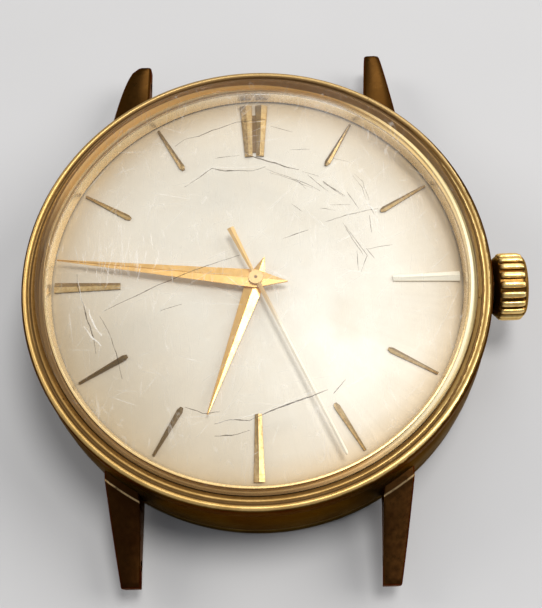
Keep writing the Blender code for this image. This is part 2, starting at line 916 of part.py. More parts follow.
# ==== winding work ======================================================================
crown_wheel_phase = math.pi / CROWN_WHEEL_TEETH
winding_direction = math.atan2(BARREL_AT[1], BARREL_AT[0] - CROWN_WHEEL_AT[0])
ratchet_phase = meshed(crown_wheel_phase, CROWN_WHEEL_TEETH, RATCHET_TEETH, winding_direction)
plate(
    "ratchet_wheel",
    [teeth(RATCHET_TEETH, WINDING_MODULE, ratchet_phase), circle(0.22, 12)],
    1.20,
    1.44,
    STEEL,
    at=BARREL_AT,
)
turned(
    "ratchet_wheel_screw",
    [(0.0, 2.10), (0.16, 2.10), (0.16, 1.18), (0.95, 1.18), (0.95, 0.98), (0.0, 0.98)],
    STEEL,
    at=(*BARREL_AT, 0.0),
    steps=20,
)
crown_wheel = plate(
    "crown_wheel",
    [teeth(CROWN_WHEEL_TEETH, WINDING_MODULE, crown_wheel_phase)],
    1.20,
    1.44,
    STEEL,
    at=CROWN_WHEEL_AT,
    solid=True,
)
face_teeth = [teeth(CROWN_WHEEL_TEETH, 0.13, crown_wheel_phase)]
join(
    crown_wheel,
    rod("crown_wheel_neck", 1.0, 1.30, 2.25, STEEL, at=CROWN_WHEEL_AT, sides=20),
    plate("face_teeth", face_teeth, 2.12, 2.34, STEEL, CROWN_WHEEL_AT, True),
)
cut(crown_wheel, rod("crown_wheel_bore_cutter", 0.22, 0.9, 1.95, STEEL, at=CROWN_WHEEL_AT, sides=12))
turned(
    "crown_wheel_screw",
    [(0.0, 1.90), (0.16, 1.90), (0.16, 1.18), (0.80, 1.18), (0.80, 0.98), (0.0, 0.98)],
    STEEL,
    at=(*CROWN_WHEEL_AT, 0.0),
    steps=20,
)
click_turn = CLICK_ANGLE + math.pi
click = plate(
    "click",
    [
        [
            (0.85, -0.55),
            (0.80, -0.25),
            (0.45, 0.35),
            (-0.1, 0.5),
            (-0.5, 0.15),
            (-0.45, -0.35),
            (0.0, -0.5),
            (0.55, -0.6),
        ],
    ],
    1.20,
    1.42,
    STEEL,
    at=CLICK_AT,
    solid=True,
    turn=click_turn,
)
join(click, rod("click_stud", 0.20, 1.15, 1.95, STEEL, at=CLICK_AT, sides=10))
plate(
    "click_spring",
    [
        [
            (-0.62, 0.9),
            (-0.50, 0.9),
            (-0.62, 0.1),
            (-0.70, -0.8),
            (-1.3, -2.1),
            (-1.9, -2.2),
            (-1.9, -2.0),
            (-1.4, -1.95),
            (-0.84, -0.8),
            (-0.76, 0.1),
        ],
    ],
    1.22,
    1.40,
    STEEL,
    at=CLICK_AT,
    turn=click_turn,
)

# ==== keyless work ======================================================================
LEVER_AT = (10.46, -1.9)
YOKE_AT = (8.12, -3.6)
lever = plate(
    "setting_lever",
    [
        [
            (-0.22, 2.15),
            (0.22, 2.15),
            (0.26, 0.3),
            (0.55, -0.1),
            (0.3, -0.55),
            (-0.9, -0.75),
            (-1.0, -0.4),
            (-0.3, -0.1),
        ],
    ],
    4.46,
    4.66,
    STEEL,
    at=LEVER_AT,
    solid=True,
)
join(lever, rod("lever_pin", 0.11, 4.02, 4.56, STEEL, at=(LEVER_AT[0], 0.0), sides=10))
yoke = plate(
    "yoke",
    [
        [
            (-0.20, 3.8),
            (0.20, 3.8),
            (0.26, 0.5),
            (0.5, 0.0),
            (0.3, -0.5),
            (-0.3, -0.5),
            (-0.5, 0.0),
            (-0.26, 0.5),
        ],
    ],
    4.82,
    4.97,
    STEEL,
    at=YOKE_AT,
    solid=True,
)
join(yoke, rod("yoke_pin", 0.14, 4.38, 4.90, STEEL, at=(YOKE_AT[0], 0.0), sides=10))

# ==== motion work =======================================================================
minute_phase = meshed(0.0, 12, 36, 0.0)
hour_phase = meshed(0.0, 10, 40, math.pi)
setting_phase = meshed(minute_phase, 36, 24, 0.0)
cannon = plate("cannon_pinion", [teeth(12, HAND_MODULE), circle(0.25, 12)], 4.70, 4.98, STEEL, solid=True)
join(cannon, plate("cannon_pipe", [circle(0.40, 16), circle(0.25, 12)], 4.90, 7.10, STEEL, solid=True))
MINUTE_WHEEL_AT = (MINUTE_WHEEL_X, 0.0)
SETTING_WHEEL_AT = (SETTING_WHEEL_X, 0.0)
minute_teeth = [teeth(36, HAND_MODULE, minute_phase)]
minute_wheel = plate("minute_wheel", minute_teeth, 4.72, 4.88, BRASS, MINUTE_WHEEL_AT, True)
join(
    minute_wheel,
    plate("minute_leaves", [teeth(10, LEAF_MODULE)], 4.80, 5.36, STEEL, MINUTE_WHEEL_AT, True),
)
hour_teeth = [teeth(40, LEAF_MODULE, hour_phase), circle(0.44, 16)]
hour_wheel = plate("hour_wheel", hour_teeth, 5.14, 5.28, BRASS, solid=True)
join(hour_wheel, plate("hour_pipe", [circle(0.56, 16), circle(0.44, 16)], 5.20, 6.80, BRASS, solid=True))
setting_teeth = [teeth(24, HAND_MODULE, setting_phase), circle(0.3, 10)]
plate("setting_wheel", setting_teeth, 4.72, 4.90, STEEL, SETTING_WHEEL_AT)

# ==== escapement ========================================================================
half_fork = [
    (2.0, 0.22),
    (1.6, 0.15),
    (0.3, 0.12),
    (0.15, 0.35),
    (-0.45, 1.20),
    (-0.72, 1.08),
    (-0.52, 0.80),
    (-0.2, 0.2),
]
fork_line = [(1.74, 0.08), (2.0, 0.08)] + half_fork
fork_line += [(x, -y) for x, y in half_fork[::-1]]
fork_line += [(2.0, -0.08), (1.74, -0.08)]
fork = plate(
    "pallet_fork",
    [fork_line],
    3.46,
    3.60,
    STEEL,
    at=FORK_AT,
    solid=True,
    turn=LINE_ANGLE,
)
join(fork, rod("fork_arbor", 0.11, 3.08, 4.90, STEEL, at=FORK_AT, sides=8))
plate(
    "balance_wheel",
    [circle(BALANCE_R, 40), *windows(3, 0.6, 3.35, 0.42), circle(0.15, 10)],
    2.74,
    2.98,
    BRASS,
    at=BALANCE_AT,
)
IMPULSE_AT = polar(0.50, LINE_ANGLE + math.pi, BALANCE_AT)
staff = rod("balance_staff", 0.12, 1.62, 4.90, STEEL, at=BALANCE_AT, sides=10)
join(
    staff,
    rod("roller", 0.62, 3.38, 3.50, STEEL, at=BALANCE_AT, sides=16),
    rod("impulse_pin", 0.07, 3.44, 3.62, STEEL, at=IMPULSE_AT, sides=8),
    rod("collet", 0.30, 2.24, 2.70, STEEL, at=BALANCE_AT, sides=12),
)
plate("hairspring", [spiral(0.38, 2.10, 4.5, 0.05, 15)], 2.28, 2.42, BLUED, at=BALANCE_AT)
plate(
    "regulator",
    [
        [polar(0.62, math.radians(a)) for a in range(20, 341, 32)] + [(2.6, -0.08), (2.6, 0.08)],
        circle(0.30, 10),
    ],
    1.28,
    1.46,
    STEEL,
    at=BALANCE_AT,
    turn=math.radians(-35.0),
)

# ==== stand on the case back ============================================================
for piece in bpy.data.objects:
    if piece.parent is None:
        piece.location.z += BACK_DEPTH * MM
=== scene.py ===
"""Looks for the wrist watch head: worn gold case, yellowed silver dial, scratched acrylic glass."""
import json
import math
import random

import bmesh
import bpy
from mathutils import Matrix, Vector

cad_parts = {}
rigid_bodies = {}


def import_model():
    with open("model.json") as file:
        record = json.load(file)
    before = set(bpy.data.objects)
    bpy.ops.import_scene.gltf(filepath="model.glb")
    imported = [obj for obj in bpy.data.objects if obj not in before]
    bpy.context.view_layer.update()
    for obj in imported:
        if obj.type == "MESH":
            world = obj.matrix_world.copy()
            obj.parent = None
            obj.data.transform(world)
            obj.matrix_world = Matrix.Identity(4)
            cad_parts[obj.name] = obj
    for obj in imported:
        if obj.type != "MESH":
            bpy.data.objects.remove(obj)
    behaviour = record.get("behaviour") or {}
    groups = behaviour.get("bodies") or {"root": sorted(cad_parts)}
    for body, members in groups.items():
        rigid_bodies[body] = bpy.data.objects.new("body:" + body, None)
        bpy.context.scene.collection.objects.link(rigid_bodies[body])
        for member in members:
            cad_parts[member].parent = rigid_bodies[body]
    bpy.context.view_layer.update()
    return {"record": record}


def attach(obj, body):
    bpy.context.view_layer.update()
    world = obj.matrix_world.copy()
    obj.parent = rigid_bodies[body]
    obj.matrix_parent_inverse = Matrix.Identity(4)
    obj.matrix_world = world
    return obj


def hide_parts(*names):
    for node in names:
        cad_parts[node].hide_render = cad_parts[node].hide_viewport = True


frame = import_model()
SCENE = bpy.context.scene

# lengths are in millimetres and become metres with MM
MM = 0.001
MM_PER_M = 1000.0
# heights are counted from the case's foot, which stands this far above the case back's underside
LIFT = 1.2
# the middle plane to the lugs' inner faces, the axis to their crest, and their spring bar holes
LUG_INNER = 9.10
CREST_R = 18.62
HOLE_Y, HOLE_Z, HOLE_R, HOLE_DEPTH = 20.6, 1.1, 0.42, 0.8
# the glass: its top, the rim where its dome turns down, and its cavity's rim
TOP = 10.58
EDGE_R, EDGE_Z = 15.7, 9.03
CAVITY_R, CAVITY_TOP, CAVITY_Z = 15.4, 9.60, 8.30
# the stem's height, and the crown's inner end, middle, outer end and ribs
STEM_Z = 3.72
CROWN_LOW, CROWN_MIDDLE, CROWN_TOP = 18.31, 19.68, 21.04
CROWN_R, RIB_R = 2.38, 2.64
CROWN_RIBS, RIB_STEPS = 20, 16
# the dial's face, and where its turned-down edge starts
DIAL_TOP, DIAL_FLAT_R, DIAL_R = 6.2, 14.6, 16.2
SECONDS_SHOWN = 25.9

# ------------------------------------------------------------------ materials


class Nodes:
    """A small helper that builds one procedural material."""

    def __init__(self, name):
        self.material = bpy.data.materials.new(name)
        self.material.use_nodes = True
        self.tree = self.material.node_tree
        self.shader = self.tree.nodes["Principled BSDF"]
        self.output = self.tree.nodes["Material Output"]
        self.coords = self.tree.nodes.new("ShaderNodeTexCoord").outputs["Object"]

    def node(self, kind, **inputs):
        """A new node with its inputs set; an underscore in a name stands for a space."""
        made = self.tree.nodes.new(kind)
        for key, value in inputs.items():
            self.put(made.inputs[key.replace("_", " ")], value)
        return made

    def put(self, socket, value):
        """Link a socket to an output, or give it a constant."""
        if isinstance(value, bpy.types.NodeSocket):
            self.tree.links.new(value, socket)
        elif isinstance(value, (tuple, list)) and len(value) == 3 and socket.type == "RGBA":
            socket.default_value = (*value, 1.0)
        else:
            socket.default_value = value

    def math(self, operation, first, second=0.0, clamp=False):
        made = self.tree.nodes.new("ShaderNodeMath")
        made.operation = operation
        made.use_clamp = clamp
        self.put(made.inputs[0], first)
        self.put(made.inputs[1], second)
        return made.outputs[0]

    def stretch(self, scale, turn=(0.0, 0.0, 0.0)):
        """The coordinates scaled and turned, for marks that run one way."""
        made = self.tree.nodes.new("ShaderNodeMapping")
        self.put(made.inputs["Vector"], self.coords)
        made.inputs["Scale"].default_value = scale
        made.inputs["Rotation"].default_value = turn
        return made.outputs["Vector"]

    def noise(self, per_mm, detail=3.0, rough=0.5, vector=None, distort=0.0):
        made = self.tree.nodes.new("ShaderNodeTexNoise")
        self.put(made.inputs["Vector"], vector if vector is not None else self.coords)
        made.inputs["Scale"].default_value = per_mm * MM_PER_M
        made.inputs["Detail"].default_value = detail
        made.inputs["Roughness"].default_value = rough
        made.inputs["Distortion"].default_value = distort
        return made.outputs["Fac"]

    def cells(self, per_mm):
        """The distance to the nearest of many scattered points."""
        made = self.tree.nodes.new("ShaderNodeTexVoronoi")
        self.put(made.inputs["Vector"], self.coords)
        made.inputs["Scale"].default_value = per_mm * MM_PER_M
        return made.outputs["Distance"]

    def ramp(self, value, *stops):
        made = self.tree.nodes.new("ShaderNodeValToRGB")
        self.put(made.inputs[0], value)
        elements = made.color_ramp.elements
        while len(elements) < len(stops):
            elements.new(0.5)
        for element, (place, colour) in zip(elements, stops):
            element.position = place
            element.color = (*colour, 1.0)
        return made.outputs["Color"]

    def window(self, value, low, high, to_low=0.0, to_high=1.0):
        """The value's way from low to high, clamped, as a number from to_low to to_high."""
        made = self.tree.nodes.new("ShaderNodeMapRange")
        self.put(made.inputs["Value"], value)
        made.inputs["From Min"].default_value = low
        made.inputs["From Max"].default_value = high
        made.inputs["To Min"].default_value = to_low
        made.inputs["To Max"].default_value = to_high
        return made.outputs["Result"]

    def mix(self, share, first, second):
        """One colour over another, by a share from 0 to 1."""
        made = self.tree.nodes.new("ShaderNodeMix")
        made.data_type = "RGBA"
        self.put(made.inputs["Factor"], share)
        self.put(made.inputs[6], first)
        self.put(made.inputs[7], second)
        return made.outputs[2]

    def split(self):
        """The coordinates in millimetres, with the height counted from the case's foot."""
        made = self.tree.nodes.new("ShaderNodeSeparateXYZ")
        self.put(made.inputs[0], self.coords)
        x, y, z = [self.math("MULTIPLY", made.outputs[i], MM_PER_M) for i in range(3)]
        return x, y, self.math("SUBTRACT", z, LIFT)

    def length(self, x, y):
        """The distance from 0, 0."""
        squares = self.math("ADD", self.math("MULTIPLY", x, x), self.math("MULTIPLY", y, y))
        return self.math("SQRT", squares)

    def radius(self):
        x, y, _ = self.split()
        return self.length(x, y)

    def around(self):
        x, y, _ = self.split()
        return self.math("ARCTAN2", y, x)

    def swept(self, across, along):
        """Coordinates for marks left by turning: radius and angle, each with its own scale."""
        made = self.node("ShaderNodeCombineXYZ")
        self.put(made.inputs[0], self.math("MULTIPLY", self.radius(), across))
        self.put(made.inputs[1], self.math("MULTIPLY", self.around(), along))
        return made.outputs[0]

    def product(self, *factors):
        result = factors[0]
        for factor in factors[1:]:
            result = self.math("MULTIPLY", result, factor)
        return result

    def total(self, *terms):
        result = terms[0]
        for term in terms[1:]:
            result = self.math("ADD", result, term)
        return result

    def band(self, value, start, full, fall, end):
        """1 between full and fall, and 0 before start and after end."""
        return self.product(self.window(value, start, full), self.window(value, end, fall))

    def layer(self, share, below, above):
        """One shader laid over another, by a share from 0 to 1."""
        made = self.node("ShaderNodeMixShader")
        self.put(made.inputs[0], share)
        self.put(made.inputs[1], below)
        self.put(made.inputs[2], above)
        return made.outputs[0]

    def glint(self, *colour):
        """The colour of the shader's sheen."""
        self.shader.inputs["Specular Tint"].default_value = (*colour, 1.0)

    def bump(self, height, strength, distance_mm):
        made = self.tree.nodes.new("ShaderNodeBump")
        made.inputs["Strength"].default_value = strength
        made.inputs["Distance"].default_value = distance_mm * MM
        self.put(made.inputs["Height"], height)
        return made.outputs["Normal"]

    def set(self, **inputs):
        """Set the main shader's inputs."""
        for key, value in inputs.items():
            self.put(self.shader.inputs[key.replace("_", " ")], value)


def worn_gold(name, bright, dull, darkening=0.5, rough=(0.16, 0.34), pits=0.0, foot=None, grain=0.1, metal=1.0,
              crest=None, edge=(1.0, 1.0, 1.0)):
    """Plated gold with tarnish in soft patches, hairlines and small pits.

    foot is (low, high, share): darker towards the bottom, from high down to low, by up to share; crest is
    the two radii between which a painted highlight runs along an edge, and with it come painted shade on the
    lower-left lug and darker upper lugs.
    """
    n = Nodes(name)
    x, y, z = n.split()
    patches = n.noise(0.30, 4.0, 0.6, distort=0.3)
    fine = n.noise(2.6, 4.0, 0.6)
    mottle = n.total(n.product(patches, 0.8), n.product(fine, 0.2))
    worn = n.math("MULTIPLY", n.window(mottle, 0.60, 0.38), darkening, clamp=True)
    if foot is not None:
        low, high, share = foot
        worn = n.math("ADD", worn, n.window(z, high, low, 0.0, share), clamp=True)
    colour = n.mix(worn, bright, dull)
    if crest is not None:
        # on the lugs: a painted highlight along the crest, painted shade that makes the lower-left lug near
        # black, and darker upper lugs
        soft = 0.05
        edge_line = n.band(n.radius(), crest[0], crest[0] + soft, crest[1] - soft, crest[1])
        crest_highlight = n.product(edge_line, n.window(z, 3.0, 3.2), n.window(fine, 0.30, 0.50))
        shaded_side = n.product(n.window(x, 4.0, -4.0), n.window(y, 2.0, -2.0, 0.0, 0.6))
        colour = n.mix(n.window(y, 2.0, 10.0, 0.0, 0.8), colour, (0.075, 0.034, 0.008))
        colour = n.mix(shaded_side, colour, (0.030, 0.010, 0.002))
        colour = n.mix(n.product(crest_highlight, 0.85), colour, (0.80, 0.56, 0.28))
    speck = n.window(n.cells(1.6), 0.13, 0.05)
    chosen = n.window(n.noise(0.9, 2.0), 0.55, 0.62)
    pit = n.product(speck, chosen, pits)
    colour = n.mix(pit, colour, (0.06, 0.03, 0.012))
    lines = n.noise(4.0, 3.0, 0.7, vector=n.stretch((1.0, 0.06, 1.0), (0.3, 0.2, 0.6)))
    cross = n.noise(3.2, 3.0, 0.7, vector=n.stretch((0.06, 1.0, 1.0), (0.1, 0.4, -0.5)))
    hairs = n.total(n.product(lines, 0.5), n.product(cross, 0.4))
    height = n.total(hairs, n.product(patches, 0.8), n.product(pit, -2.5))
    n.set(
        Base_Color=colour,
        Metallic=metal,
        Roughness=n.total(n.window(fine, 0.3, 0.75, *rough), n.product(worn, 0.10)),
        Normal=n.bump(height, grain, 0.02),
    )
    n.glint(*edge)
    return n.material


def bezel_gold(name):
    """The bezel's gold: a rim painted lighter on the right (painted highlight) and darker at the top and on the
    left (painted shade), a bead lit by a painted highlight on its lower right, brown on the slope by the glass,
    and darker in the groove.
    """
    # each band across the bezel: where it starts, is full, falls off and ends
    bead_at = (17.04, 17.09, 17.26, 17.32)
    groove_at = (17.24, 17.30, 17.46, 17.52)
    rim_at = (17.46, 17.54, 17.84, 17.90)
    n = Nodes(name)
    radius = n.radius()
    x, y, z = n.split()
    sideways = n.math("DIVIDE", x, radius)
    patches = n.noise(0.35, 4.0, 0.6, distort=0.3)
    fine = n.noise(3.0, 4.0, 0.6)
    gold = n.mix(n.window(patches, 0.42, 0.66, 0.0, 0.7), (0.84, 0.57, 0.22), (0.56, 0.34, 0.10))
    # painted highlight on the right of the rim and bead; painted shade at the top and on the left
    gold = n.mix(n.window(sideways, 0.5, 0.9), gold, (1.0, 0.76, 0.32))
    gold = n.mix(n.window(y, 2.0, 10.0), gold, (0.46, 0.31, 0.13))
    gold = n.mix(n.window(x, -5.0, -13.0, 0.0, 0.7), gold, (0.52, 0.34, 0.12))
    brown = n.mix(n.window(fine, 0.35, 0.7), (0.27, 0.150, 0.045), (0.19, 0.10, 0.028))
    brown = n.mix(n.window(y, 8.0, 14.0), brown, (0.26, 0.16, 0.085))
    # the bands lie a little further in at the sides, and their edges are chipped
    toward = n.math("DIVIDE", n.math("SUBTRACT", n.product(x, 0.6), n.product(y, 0.8)), radius)
    rightward = n.window(sideways, 0.72, 0.92)
    leftward = n.window(sideways, -0.84, -0.96)
    chipped = n.product(n.math("SUBTRACT", n.noise(0.9, 4.0, 0.7), 0.5), n.window(x, 2.0, 10.0, 0.05, 0.20))
    shift = n.total(n.product(rightward, 0.19), n.product(leftward, 0.10))
    reach = n.total(radius, shift, chipped)
    # the bead turns gold only on its lower-right side, less so on the far right: a painted highlight
    bead = n.product(
        n.band(reach, *bead_at),
        n.window(toward, -0.5, 0.4, 0.0, 0.75),
        n.math("SUBTRACT", 1.0, n.product(rightward, 0.6)),
    )
    bright = n.math("MAXIMUM", bead, n.band(reach, *rim_at))
    colour = n.mix(bright, brown, gold)
    colour = n.mix(n.product(n.band(reach, *groove_at), 0.85), colour, (0.085, 0.048, 0.018))
    below = n.math("MAXIMUM", n.window(z, 7.20, 7.06), n.window(reach, 17.86, 17.92))
    flank = n.mix(n.window(patches, 0.4, 0.65), (0.085, 0.048, 0.014), (0.050, 0.027, 0.008))
    colour = n.mix(below, colour, flank)
    spots = n.product(n.window(n.cells(1.5), 0.16, 0.07), n.window(n.noise(0.8, 2.0), 0.57, 0.62))
    colour = n.mix(n.product(spots, 0.9), colour, (0.07, 0.035, 0.012))
    turning = n.noise(1.0, 4.0, 0.7, vector=n.swept(0.004, 0.0006))
    dents = n.noise(0.7, 3.0, 0.6)
    n.set(
        Base_Color=colour,
        Metallic=n.math("MAXIMUM", n.window(bright, 0.0, 1.0, 0.35, 0.8), below),
        Roughness=n.window(fine, 0.3, 0.75, 0.34, 0.46),
        Normal=n.bump(n.total(n.product(turning, 0.25), dents, n.product(spots, -1.5)), 0.10, 0.03),
    )
    n.glint(0.55, 0.36, 0.16)
    return n.material


def plain_metal(name, colour, shade, rough, grain=0.25):
    """Brushed metal with soft clouds of a second tone."""
    n = Nodes(name)
    streak = n.noise(3.0, 4.0, 0.65, vector=n.stretch((1.0, 0.12, 1.0), (0.0, 0.0, 0.5)))
    cloud = n.noise(0.8, 3.0, 0.5)
    n.set(
        Base_Color=n.mix(n.window(cloud, 0.35, 0.7), colour, shade),
        Metallic=1.0,
        Roughness=n.window(streak, 0.3, 0.7, *rough),
        Normal=n.bump(n.total(streak, n.product(cloud, 0.5)), grain, 0.01),
    )
    return n.material


GOLD_BEZEL = bezel_gold("gold_bezel")
GOLD_CASE = worn_gold(
    "gold_case", (0.120, 0.078, 0.028), (0.065, 0.040, 0.013), darkening=0.7, rough=(0.24, 0.40), pits=0.3,
    foot=(0.6, 6.2, 0.25), edge=(0.5, 0.36, 0.18),
)
GOLD_LUG = worn_gold(
    "gold_lug", (0.115, 0.048, 0.012), (0.045, 0.016, 0.005), darkening=0.8, rough=(0.20, 0.36), pits=0.3,
    foot=(0.6, 4.5, 0.25), crest=(18.54, 18.70), edge=(0.5, 0.3, 0.14),
)


def crown_gold(name):
    """The crown's gold: pale on the ribs, dark in the grooves and on the outer end, with painted shade on the
    inner face.
    """
    n = Nodes(name)
    x, y, z = n.split()
    out = n.length(y, n.math("SUBTRACT", z, STEM_Z))
    fine = n.noise(2.5, 4.0, 0.6)
    rib = n.mix(n.window(fine, 0.42, 0.66, 0.0, 0.7), (1.0, 0.73, 0.30), (0.80, 0.47, 0.13))
    darkening = n.math("MAXIMUM", n.window(out, 2.56, 2.44), n.window(x, 20.60, 20.68))
    colour = n.mix(n.product(darkening, 0.94), rib, (0.16, 0.072, 0.010))
    # painted shade on the inner face, where the crown meets the case
    colour = n.mix(n.window(x, 18.75, 18.60), colour, (0.05, 0.022, 0.006))
    brushed = n.noise(6.0, 3.0, 0.6, vector=n.stretch((0.1, 1.0, 1.0)))
    n.set(
        Base_Color=colour,
        Metallic=0.92,
        Roughness=n.window(fine, 0.3, 0.75, 0.26, 0.40),
        Normal=n.bump(n.total(fine, brushed), 0.08, 0.02),
    )
    n.glint(1.0, 0.72, 0.36)
    return n.material


GOLD_CROWN = crown_gold("gold_crown")


def ring_gold():
    """The tension ring: a polished gold inner wall that mirrors the dial, and a top edge painted pale towards
    six o'clock (painted highlight) and dark brown towards twelve (painted shade).
    """
    n = Nodes("gold_ring")
    _, y, z = n.split()
    top_edge = (7.18, 7.22)
    fine = n.noise(2.5, 4.0, 0.6)
    wall = n.mix(n.window(fine, 0.35, 0.75), (1.0, 0.82, 0.52), (0.97, 0.78, 0.47))
    # the top edge: a painted highlight towards six o'clock, painted shade towards twelve
    top = n.mix(n.window(y, -6.0, 4.0), (0.96, 0.76, 0.42), (0.36, 0.24, 0.11))
    n.set(
        Base_Color=n.mix(n.window(z, *top_edge), wall, top),
        Metallic=n.window(z, *top_edge, 0.75, 0.3),
        Roughness=n.window(fine, 0.3, 0.75, 0.24, 0.30),
        Normal=n.bump(fine, 0.01, 0.01),
    )
    return n.material


GOLD_RING = ring_gold()
GILT = worn_gold(
    "gilt_hands", (1.0, 0.64, 0.25), (0.84, 0.49, 0.15), rough=(0.26, 0.38), pits=0.2, grain=0.05, metal=0.75,
)


def sweep_gold():
    """The seconds hand: gold at the hub and tail, cream along the pointer, with a dark pivot."""
    n = Nodes("gilt_sweep")
    x, y, _ = n.split()
    fine = n.noise(3.0, 4.0, 0.6)
    along = n.math("SUBTRACT", n.product(x, 0.42), n.product(y, 0.91))
    pointer_from = (1.0, 4.5)
    tail = n.mix(fine, (0.84, 0.58, 0.27), (0.66, 0.42, 0.18))
    hub = n.mix(fine, (0.95, 0.68, 0.33), (0.72, 0.46, 0.19))
    colour = n.mix(n.window(along, *pointer_from), tail, (1.0, 0.94, 0.82))
    colour = n.mix(n.window(n.radius(), 0.60, 0.50), colour, hub)
    colour = n.mix(n.window(n.radius(), 0.16, 0.10), colour, (0.22, 0.13, 0.06))
    n.set(
        Base_Color=colour,
        Metallic=n.window(along, *pointer_from, 0.5, 0.1),
        Roughness=n.window(fine, 0.3, 0.75, 0.30, 0.42),
        Normal=n.bump(fine, 0.06, 0.01),
    )
    return n.material


SWEEP_GOLD = sweep_gold()


def marker_gold():
    """Applied markers: dark brown sides, worn gold facets with painted shade on those that lean up the dial and
    on the upper and lower-left markers, and a painted highlight that makes the bar at three o'clock pale.
    """
    n = Nodes("gilt_markers")
    x, y, z = n.split()
    fine = n.noise(3.5, 4.0, 0.6)
    facet = n.mix(n.window(fine, 0.4, 0.65), (0.98, 0.72, 0.34), (0.70, 0.45, 0.17))
    # painted shade on the upper markers and the lower-left ones
    lower_left = n.product(n.window(x, -3.0, -4.5), n.window(y, -4.0, -6.0))
    shaded = n.math("MAXIMUM", n.window(y, 6.0, 12.0, 0.0, 0.6), lower_left)
    facet = n.mix(shaded, facet, (0.175, 0.115, 0.045))
    # the facets that lean up the dial and to the left are painted dark: painted shade
    slope = n.node("ShaderNodeSeparateXYZ")
    n.put(slope.inputs[0], n.node("ShaderNodeNewGeometry").outputs["Normal"])
    lean = n.math("SUBTRACT", n.product(slope.outputs[1], 0.8), n.product(slope.outputs[0], 0.25))
    ragged = n.total(lean, n.product(n.math("SUBTRACT", fine, 0.5), 0.12))
    facet = n.mix(n.window(ragged, 0.02, 0.10, 0.0, 0.8), facet, (0.16, 0.10, 0.035))
    # the bar at three o'clock is painted near white and less metallic: a painted highlight
    at_three = n.product(n.window(x, 9.8, 10.2), n.window(n.math("ABSOLUTE", y), 1.2, 0.9))
    facet = n.mix(at_three, facet, (1.0, 0.97, 0.86))
    side = n.mix(at_three, (0.20, 0.115, 0.04), (0.62, 0.50, 0.32))
    n.set(
        Base_Color=n.mix(n.window(z, 6.30, 6.34), side, facet),
        Metallic=n.window(at_three, 0.0, 1.0, 0.6, 0.1),
        Roughness=n.window(fine, 0.3, 0.7, 0.26, 0.42),
        Normal=n.bump(fine, 0.06, 0.01),
    )
    return n.material


MARKER_GOLD = marker_gold()
STEEL = plain_metal("polished_steel", (0.62, 0.62, 0.63), (0.50, 0.50, 0.52), (0.16, 0.34))


def back_steel():
    """The case back: brushed steel below, its rim dark brown, partly from old wear and partly as painted shade.
    """
    n = Nodes("case_back_brushed")
    streak = n.noise(1.2, 4.0, 0.7, vector=n.swept(0.012, 0.0006))
    cloud = n.noise(0.8, 3.0, 0.5)
    clouds = n.window(cloud, 0.35, 0.7)
    steel = n.mix(clouds, (0.60, 0.58, 0.54), (0.44, 0.40, 0.34))
    rim = n.mix(clouds, (0.105, 0.066, 0.022), (0.055, 0.034, 0.012))
    # the rim's dark brown is partly old wear and partly painted shade
    n.set(
        Base_Color=n.mix(n.window(n.radius(), 17.45, 17.60), steel, rim),
        Metallic=1.0,
        Roughness=n.window(streak, 0.3, 0.7, 0.26, 0.46),
        Normal=n.bump(n.total(streak, n.product(cloud, 0.5)), 0.4, 0.01),
    )
    n.glint(0.5, 0.4, 0.25)
    return n.material


BRASS = plain_metal("gilt_brass", (0.80, 0.60, 0.30), (0.66, 0.47, 0.21), (0.22, 0.40))
NICKEL = plain_metal("nickelled_brass", (0.72, 0.70, 0.64), (0.60, 0.57, 0.50), (0.2, 0.36), 0.3)
BLUED = plain_metal("blued_steel", (0.05, 0.08, 0.30), (0.10, 0.06, 0.22), (0.14, 0.28), 0.1)


def soft_grey(name, colour, shade, rough):
    """A dull moulded material, such as rubber."""
    n = Nodes(name)
    grain = n.noise(8.0, 4.0, 0.6)
    n.set(
        Base_Color=n.mix(grain, colour, shade),
        Roughness=n.window(grain, 0.3, 0.7, rough - 0.1, rough + 0.1),
        Normal=n.bump(grain, 0.3, 0.02),
    )
    return n.material


RUBBER = soft_grey("black_rubber", (0.025, 0.025, 0.026), (0.05, 0.045, 0.04), 0.7)
HOLDER = soft_grey("grey_holder", (0.26, 0.26, 0.27), (0.34, 0.33, 0.32), 0.5)


def dial_material():
    """The silvered dial: a fine sunburst, yellowed towards its edge, a painted reflection of the gold ring at
    the very edge, painted shade on its lower left, and small spots.
    """
    n = Nodes("dial_silvered")
    x, y, _ = n.split()
    # yellowing towards the edge, turning brown-gold at the very edge as a painted reflection of the gold ring
    yellowing_and_ring_reflection = n.ramp(
        n.window(n.radius(), 4.0, 16.2),
        (0.0, (0.755, 0.735, 0.685)),
        (0.55, (0.745, 0.715, 0.655)),
        (0.80, (0.69, 0.635, 0.55)),
        (0.92, (0.61, 0.505, 0.37)),
        (1.0, (0.46, 0.345, 0.20)),
    )
    # the lower left is painted darker and warmer: painted shade
    upper_right = n.total(n.product(x, 0.75), n.product(y, 0.66))
    lower_left_shaded = n.mix(n.window(upper_right, -5.0, -15.5, 0.0, 0.9), yellowing_and_ring_reflection, (0.46, 0.39, 0.285))
    sunburst = n.node("ShaderNodeCombineXYZ")
    n.put(sunburst.inputs[0], n.product(n.math("COSINE", n.around()), 0.02))
    n.put(sunburst.inputs[1], n.product(n.math("SINE", n.around()), 0.02))
    rays = n.noise(4.0, 5.0, 0.75, vector=sunburst.outputs[0])
    cloud = n.noise(0.25, 4.0, 0.6)
    spots = n.window(n.noise(3.5, 5.0, 0.7), 0.66, 0.74)
    shaded = n.mix(n.window(rays, 0.35, 0.7, 0.0, 0.14), lower_left_shaded, (0.64, 0.59, 0.50))
    shaded = n.mix(n.product(n.window(cloud, 0.45, 0.75), 0.30), shaded, (0.70, 0.62, 0.50))
    shaded = n.mix(n.product(spots, 0.25), shaded, (0.42, 0.31, 0.18))
    n.set(
        Base_Color=shaded,
        Metallic=0.12,
        Roughness=n.window(rays, 0.3, 0.7, 0.40, 0.52),
        Normal=n.bump(n.total(rays, n.product(cloud, 0.4)), 0.12, 0.01),
    )
    return n.material


DIAL = dial_material()


